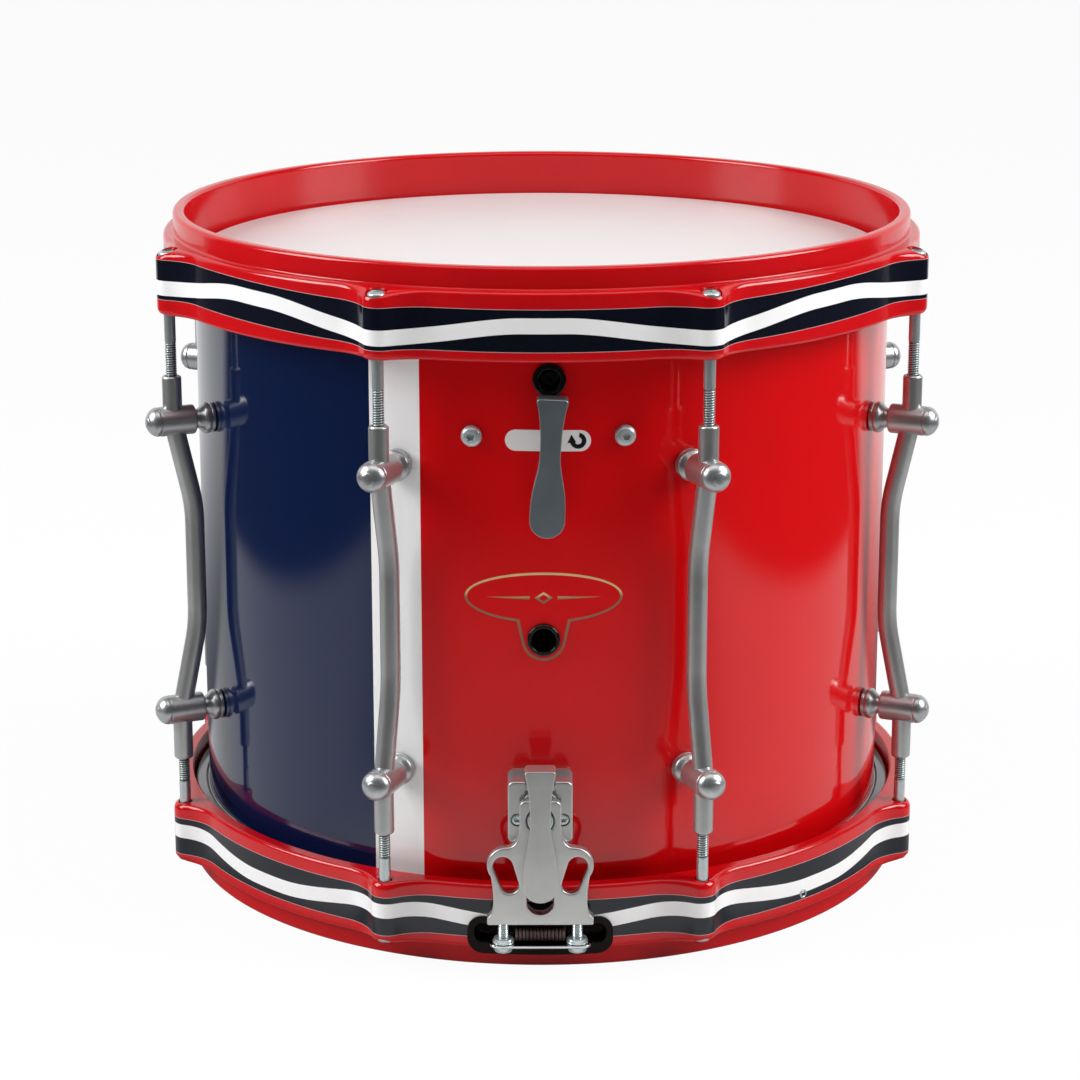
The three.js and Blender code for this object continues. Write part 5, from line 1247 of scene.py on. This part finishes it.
def carriage_outline():
    """Tongue, two round ears, a waist and the foot."""
    tongue, waist, centre = CARRIAGE_TONGUE, CARRIAGE_WAIST, EAR_WIDTH / 2 - EAR_RADIUS
    side = arc(tongue - 3, CARRIAGE_TOP - 3, 3, 90, 0, 8) + [(tongue, EAR_HEIGHT + 19.4)]
    side += quadratic(side[-1], (tongue, EAR_HEIGHT + EAR_RADIUS), (centre, EAR_HEIGHT + EAR_RADIUS))
    side += arc(centre, EAR_HEIGHT, EAR_RADIUS, 90, -EAR_TURN, 16)[1:]
    side += quadratic(side[-1], (waist, 46), (waist, FOOT_TOP + 3))
    side += quadratic(side[-1], (waist, 33.5), (FOOT_HALF, FOOT_SHOULDER))
    return both_sides(side + foot_corner())


def foot_outline():
    start = (22, FOOT_TOP)
    return both_sides([start] + quadratic(start, (22.3, 33.2), (FOOT_HALF, FOOT_SHOULDER)) + foot_corner())


def make_carriage():
    at = STRAINER_PLACE
    slot = rounded(12.6, 32.8, 62, 6.0)
    screw_hole = circle(0, CENTRE_SCREW_HEIGHT, 6.6)
    body = plate("carriage_casting", [carriage_outline(), slot, finger_hole(-1), finger_hole(1), screw_hole],
                 CARRIAGE_BACK, CARRIAGE_FACE, CARRIAGE_EDGE, at)
    foot = plate("foot", [foot_outline()], FOOT_BACK, FOOT_FACE, 0.3, at)
    combined(foot, [plate("tool", [slot], FOOT_BACK - OVERRUN, FOOT_BACK + 12, 0.0, at)])
    carriage = merged("sliding_carriage", [body, foot])
    finished(carriage, CASTING, "strainer_carriage", stands_for=["strainer_carriage"])
    core = plate("core", [rounded(14, 68, 86, 1.5)], 186, 197.6, 0.6, at)
    crown = plate("crown", [rounded(15.8, 84.2, 91.4, 3.4)], STRAINER_FACE - 2, STRAINER_FACE, 0.5, at)
    block = merged("carriage_slide", [core, crown])
    finished(block, CASTING, "strainer_carriage", stands_for=["strainer_slide_block"])
    seat = at @ moved(z=CENTRE_SCREW_HEIGHT) @ FRONT @ moved(z=CARRIAGE_FACE - 2.5)
    screw = socket_screw("carriage_centre_screw", CENTRE_SCREW, seat)
    finished(screw, ZINC, "strainer_carriage", stands_for=["strainer_centre_screw"])


def body_screw_place(side):
    return STRAINER_PLACE @ moved(x=side * SCREW_OUT, z=SCREW_HEIGHT) @ FRONT


def strainer_housing(name, at):
    """The strainer's body: a channel for the slide block, a groove across its top for the lever's arm,
    a shallow recess round the block's crown and two screw holes."""
    outline = rounded(BODY_WIDTH, BODY_LOW, BODY_TOP, BODY_ROUND)
    body = plate(name, [outline], SHELL_SEAT, STRAINER_FACE, 1.0, at)
    face, over = STRAINER_FACE, 105
    cuts = [plate("tool", [upright_box(CHANNEL_HALF, 60, over)], CHANNEL_FLOOR, face + 5, 0.0, at),
            plate("tool", [upright_box(20, 91.5, over)], CHANNEL_FLOOR, face - 7, 0.0, at),
            plate("tool", [rounded(19.4, 75.5, 92.9, 4.6)], face - 2.4, face + 5, 0.0, at)]
    for side in (-1, 1):
        cuts.append(bar(SCREW_SINK, face - 2.3, face + OVERRUN, body_screw_place(side)))
        cuts.append(bar(SCREW_BORE, SHELL_SEAT - OVERRUN, face + OVERRUN, body_screw_place(side)))
    return combined(body, cuts)


def make_strainer():
    at = STRAINER_PLACE
    housing = strainer_housing("strainer_housing", at)
    finished(housing, CASTING, stands_for=["strainer_body"])
    handle = lever("strainer_throw_lever", LOWER_LENGTH, LOWER_LEVER_FACE, LOWER_BLADE, LOWER_HEAD_HEIGHT,
                   at @ moved(z=LOWER_LEVER_TOP))
    arm = plate("arm", [rounded(9.4, 90.5, 97.2, 1.2)], 190, LOWER_LEVER_FACE - 2, 0.5, at)
    combined(handle, [arm], "UNION")
    finished(handle, CASTING, "strainer_lever", stands_for=["strainer_lever"])
    for name, side in (("left", -1), ("right", 1)):
        seat = body_screw_place(side) @ moved(z=STRAINER_FACE - 2)
        screw = socket_screw(f"strainer_body_screw_{name}", BODY_SCREW, seat)
        finished(screw, ZINC, stands_for=[f"strainer_screw_{name}"])


def adjuster(name, transform):
    """A clamp screw: head and washer under the clamp plate, a collar above it, its thread in the foot."""
    profile = [(0.2, 14.4), (1.6, 14.4), (1.6, 13.9), (3.2, 13.9), (4.2, 14.4), (4.6, 15.3), (4.6, 16.9),
               (2.6, 16.9), (2.6, 18.7), (4.9, 18.7), (5.1, 18.9), (5.1, 19.6), (4.6, 19.9), (4.6, 20.9),
               (4.3, 21.1), (2.6, 21.1)]
    profile += [(2.6 - 0.25 * (k % 2), 21.3 + 0.45 * k) for k in range(16)]
    profile += [(1.9, 28.2), (1.9, 34.9), (0.2, 34.9)]
    return turned(name, profile, 32, transform)


def clamp_plate(name, transform):
    """A flat plate with two holes, lying across the strap's end."""
    outline = rounded(CLAMP_WIDTH, -CLAMP_HALF_DEPTH, CLAMP_HALF_DEPTH, CLAMP_CORNER)
    holes = [circle(side * ADJUSTER_SPACING / 2, 0, CLAMP_HOLE) for side in (-1, 1)]
    flat = transform @ moved(y=-ADJUSTER_PLACE, z=CLAMP_HEIGHT) @ Matrix.Rotation(math.radians(-90), 4, "X")
    half = CLAMP_HALF_THICKNESS
    return plate(name, [outline, *holes], -half, half, CLAMP_EDGE, flat)


def make_clamps():
    for prefix, at, body in (("snare", STRAINER_PLACE, "strainer_carriage"), ("butt", BUTT_PLACE, "drum")):
        bar_plate = clamp_plate(f"{prefix}_clamp_bar", at)
        finished(bar_plate, CHROME, body, stands_for=[f"{prefix}_clamp_plate"])
        for name, side in (("left", -1), ("right", 1)):
            node = f"{prefix}_adjuster_{name}"
            place = at @ moved(x=side * ADJUSTER_SPACING / 2, y=-ADJUSTER_PLACE)
            screw = adjuster(f"{prefix}_clamp_screw_{name}", place)
            finished(screw, ZINC, node, stands_for=[node])


def make_butt():
    at = BUTT_PLACE
    block = plate("butt_block", [rounded(BODY_WIDTH, BODY_LOW, BUTT_TOP, BODY_ROUND)],
                  SHELL_SEAT, CARRIAGE_FACE - 1.4, 1.0, at)
    body = plate("butt_plate", [carriage_outline(), finger_hole(-1), finger_hole(1)],
                 CARRIAGE_BACK, CARRIAGE_FACE, CARRIAGE_EDGE, at)
    foot = plate("foot", [foot_outline()], FOOT_BACK, FOOT_FACE, 0.3, at)
    butt = merged("rear_butt", [block, body, foot])
    finished(butt, CASTING, stands_for=["butt_bracket"])


# Snares

def strands(name, route, count, spacing, radius, material, place=Matrix.Identity(4)):
    """Strands along a route of (y, z) points, side by side about its middle."""
    mesh = bpy.data.meshes.new(name)
    mesh.from_pydata([(0, y, z) for y, z in route], [(k, k + 1) for k in range(len(route) - 1)], [])
    obj = repeated(linked(name, mesh), *strand_rows(f"{name} rows"), {
        "Count": count, "Spacing": spacing, "Radius": radius, "Finish": material})
    obj.data.transform(place)
    return obj


# How many strands, how far apart and their radius
UPPER_STRANDS = (10, 3.2, 0.65)
LOWER_STRANDS = (16, 1.4, 0.6)
STRAP_RIBS = (14, 1.7, 0.88)

# The way each set takes, in (y, z) points
UPPER_SNARES = [(-146, 314.7), (146, 314.7)]
LOWER_SNARES = [(-168, 21.5), (-160, 21.5), (160, 21.5), (168, 21.5)]
STRAP_ROUTE = [(-164, 21.5), (-170, 21.3), (-178, 21.2), (-188, 21.5), (-192.5, 20.4), (-195.6, 16.6),
               (-202.5, 16.2)]


def make_snares():
    upper = strands("upper_snare_strands", UPPER_SNARES, *UPPER_STRANDS, WIRE)
    finished(upper, WIRE, "upper_bridge", stands_for=["upper_snares"])
    lower = strands("lower_snare_strands", LOWER_SNARES, *LOWER_STRANDS, WIRE, STRAINER_PLACE)
    finished(lower, WIRE, stands_for=["lower_snares"])
    for name, place in (("front", STRAINER_PLACE), ("rear", BUTT_PLACE)):
        strap = strands(f"snare_strap_{name}", STRAP_ROUTE, *STRAP_RIBS, STRAP, place)
        finished(strap, STRAP)


# Label and badge, bare of wording

STRIP = 3.0
LABEL_WIDTH, LABEL_HALF_HEIGHT, LABEL_MIDDLE, LABEL_LEAN = 39.7, 5.0, (2.0, 256.6), -0.77
ARROW_ALONG, ARROW_OUTER, ARROW_INNER, ARROW_SPAN = 13.9, 3.75, 1.7, (80, -165)
BADGE_HALF, TAB_HALF, TAB_RADIUS, TAB_ANGLES = (37.2, 12.3), 12.6, 10.3, (192, 348)
BADGE_LINE, BADGE_HOLE = 1.15, 7.6


def on_shell(obj, lift):
    """Wraps a flat plate that stands at the front round the shell, its back on the lacquer."""
    for vertex in obj.data.vertices:
        angle = vertex.co.x / SHELL_RADIUS
        radius = SHELL_RADIUS + lift - vertex.co.y
        vertex.co = (radius * math.sin(angle), -radius * math.cos(angle), vertex.co.z)
    return obj


def film(name, outlines, thickness):
    """A thin film, its mesh cut into strips so that it can follow the shell."""
    obj = plate(name, outlines, -thickness / 2, thickness / 2, 0.0)
    work = bmesh.new()
    work.from_mesh(obj.data)
    x, high = min(v.co.x for v in work.verts) + STRIP, max(v.co.x for v in work.verts)
    while x < high:
        everything = work.verts[:] + work.edges[:] + work.faces[:]
        bmesh.ops.bisect_plane(work, geom=everything, plane_co=(x, 0, 0), plane_no=(1, 0, 0))
        x += STRIP
    work.to_mesh(obj.data)
    work.free()
    return obj


def make_label():
    """A white pill with a black turning arrow, a little askew."""
    askew = Matrix.Rotation(math.radians(LABEL_LEAN), 2)

    def placed(points):
        centre, middle = LABEL_MIDDLE
        turned_points = [askew @ Vector(point) for point in points]
        return [(point.x + centre, point.y + middle) for point in turned_points]

    half = LABEL_HALF_HEIGHT
    pill = film("throw_label", [placed(rounded(LABEL_WIDTH, -half, half, half - 0.1))], 0.2)
    finished(on_shell(pill, 0.13), PRINT_WHITE)
    along = ARROW_ALONG
    loop = arc(along, 0, ARROW_OUTER, *ARROW_SPAN, 28) + arc(along, 0, ARROW_INNER, *ARROW_SPAN, 28)[::-1]
    head = [(along - 4.9, -1.1), (along - 0.9, -0.7), (along - 3.2, 2.9)]
    parts = [film("loop", [placed(loop)], 0.1), film("head", [placed(head)], 0.1)]
    arrow = merged("throw_label_arrow", parts)
    on_shell(arrow, 0.29)
    finished(arrow, PRINT_BLACK)


def badge_outline(inset=0.0):
    """An oval with a round tab below it for the vent, drawn in from its edge by an inset."""
    half_width, half_height, tab, tab_radius = (size - inset for size in (*BADGE_HALF, TAB_HALF, TAB_RADIUS))
    split = math.degrees(math.acos(tab / half_width))
    rim = [(half_width * math.cos(a), BADGE_MIDDLE + half_height * math.sin(a))
           for a in (math.radians(-split + (180 + 2 * split) * k / 120) for k in range(121))]
    return rim + arc(0, VENT_HEIGHT, tab_radius, *TAB_ANGLES, 26)


def lozenge(half_width, half_height):
    middle = BADGE_MIDDLE
    return [(-half_width, middle), (0, middle - half_height), (half_width, middle), (0, middle + half_height)]


def make_badge():
    """A gold outline, a red field, and a plain lozenge with a tapered line at each side."""
    field_outline = badge_outline(BADGE_LINE)
    rim = on_shell(film("badge_rim", [badge_outline(), field_outline], 0.16), 0.12)
    finished(rim, PRINT_GOLD)
    field = on_shell(film("badge_field", [field_outline, circle(0, VENT_HEIGHT, BADGE_HOLE)], 0.12), 0.1)
    finished(field, PRINT_RED)
    parts = [film("lozenge", [lozenge(4.2, 2.9), lozenge(2.4, 1.65)], 0.06)]
    for side in (-1, 1):
        near, far, half = side * 6.5, side * 27.0, 0.75
        taper = [(near, BADGE_MIDDLE - half), (near, BADGE_MIDDLE + half), (far, BADGE_MIDDLE)]
        parts.append(film("taper", [taper], 0.06))
    ornament = on_shell(merged("badge_ornament", parts), 0.2)
    finished(ornament, PRINT_GOLD)


HOOP_SCREW_ANGLE, HOOP_SCREW_HEIGHT = 41.7, 19.2


def make_hoop_screw():
    """The small set screw in the lower hoop's face."""
    at = turn_about_z(HOOP_SCREW_ANGLE) @ moved(z=HOOP_SCREW_HEIGHT) @ FRONT @ moved(z=ROUND - 0.5)
    screw = socket_screw("hoop_set_screw", HOOP_SCREW, at, 32)
    finished(screw, ZINC)


# CAD nodes that keep their own shape
KEPT = {"upper_lever_shaft": ZINC, "upper_frame": BARE_METAL, "upper_bridge": BARE_METAL,
        "strainer_pivot_pin": ZINC}


def dress_kept_nodes():
    """Gives the CAD's own meshes their finishes."""
    for name, material in KEPT.items():
        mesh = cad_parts[name].data
        mesh.materials.clear()
        mesh.materials.append(material)


make_shell()
make_heads()
make_hoops()
make_gate_liners()
make_rods()
make_posts()
make_shell_fittings()
make_upper_throw()
make_carriage()
make_strainer()
make_clamps()
make_butt()
make_snares()
make_label()
make_badge()
make_hoop_screw()
dress_kept_nodes()
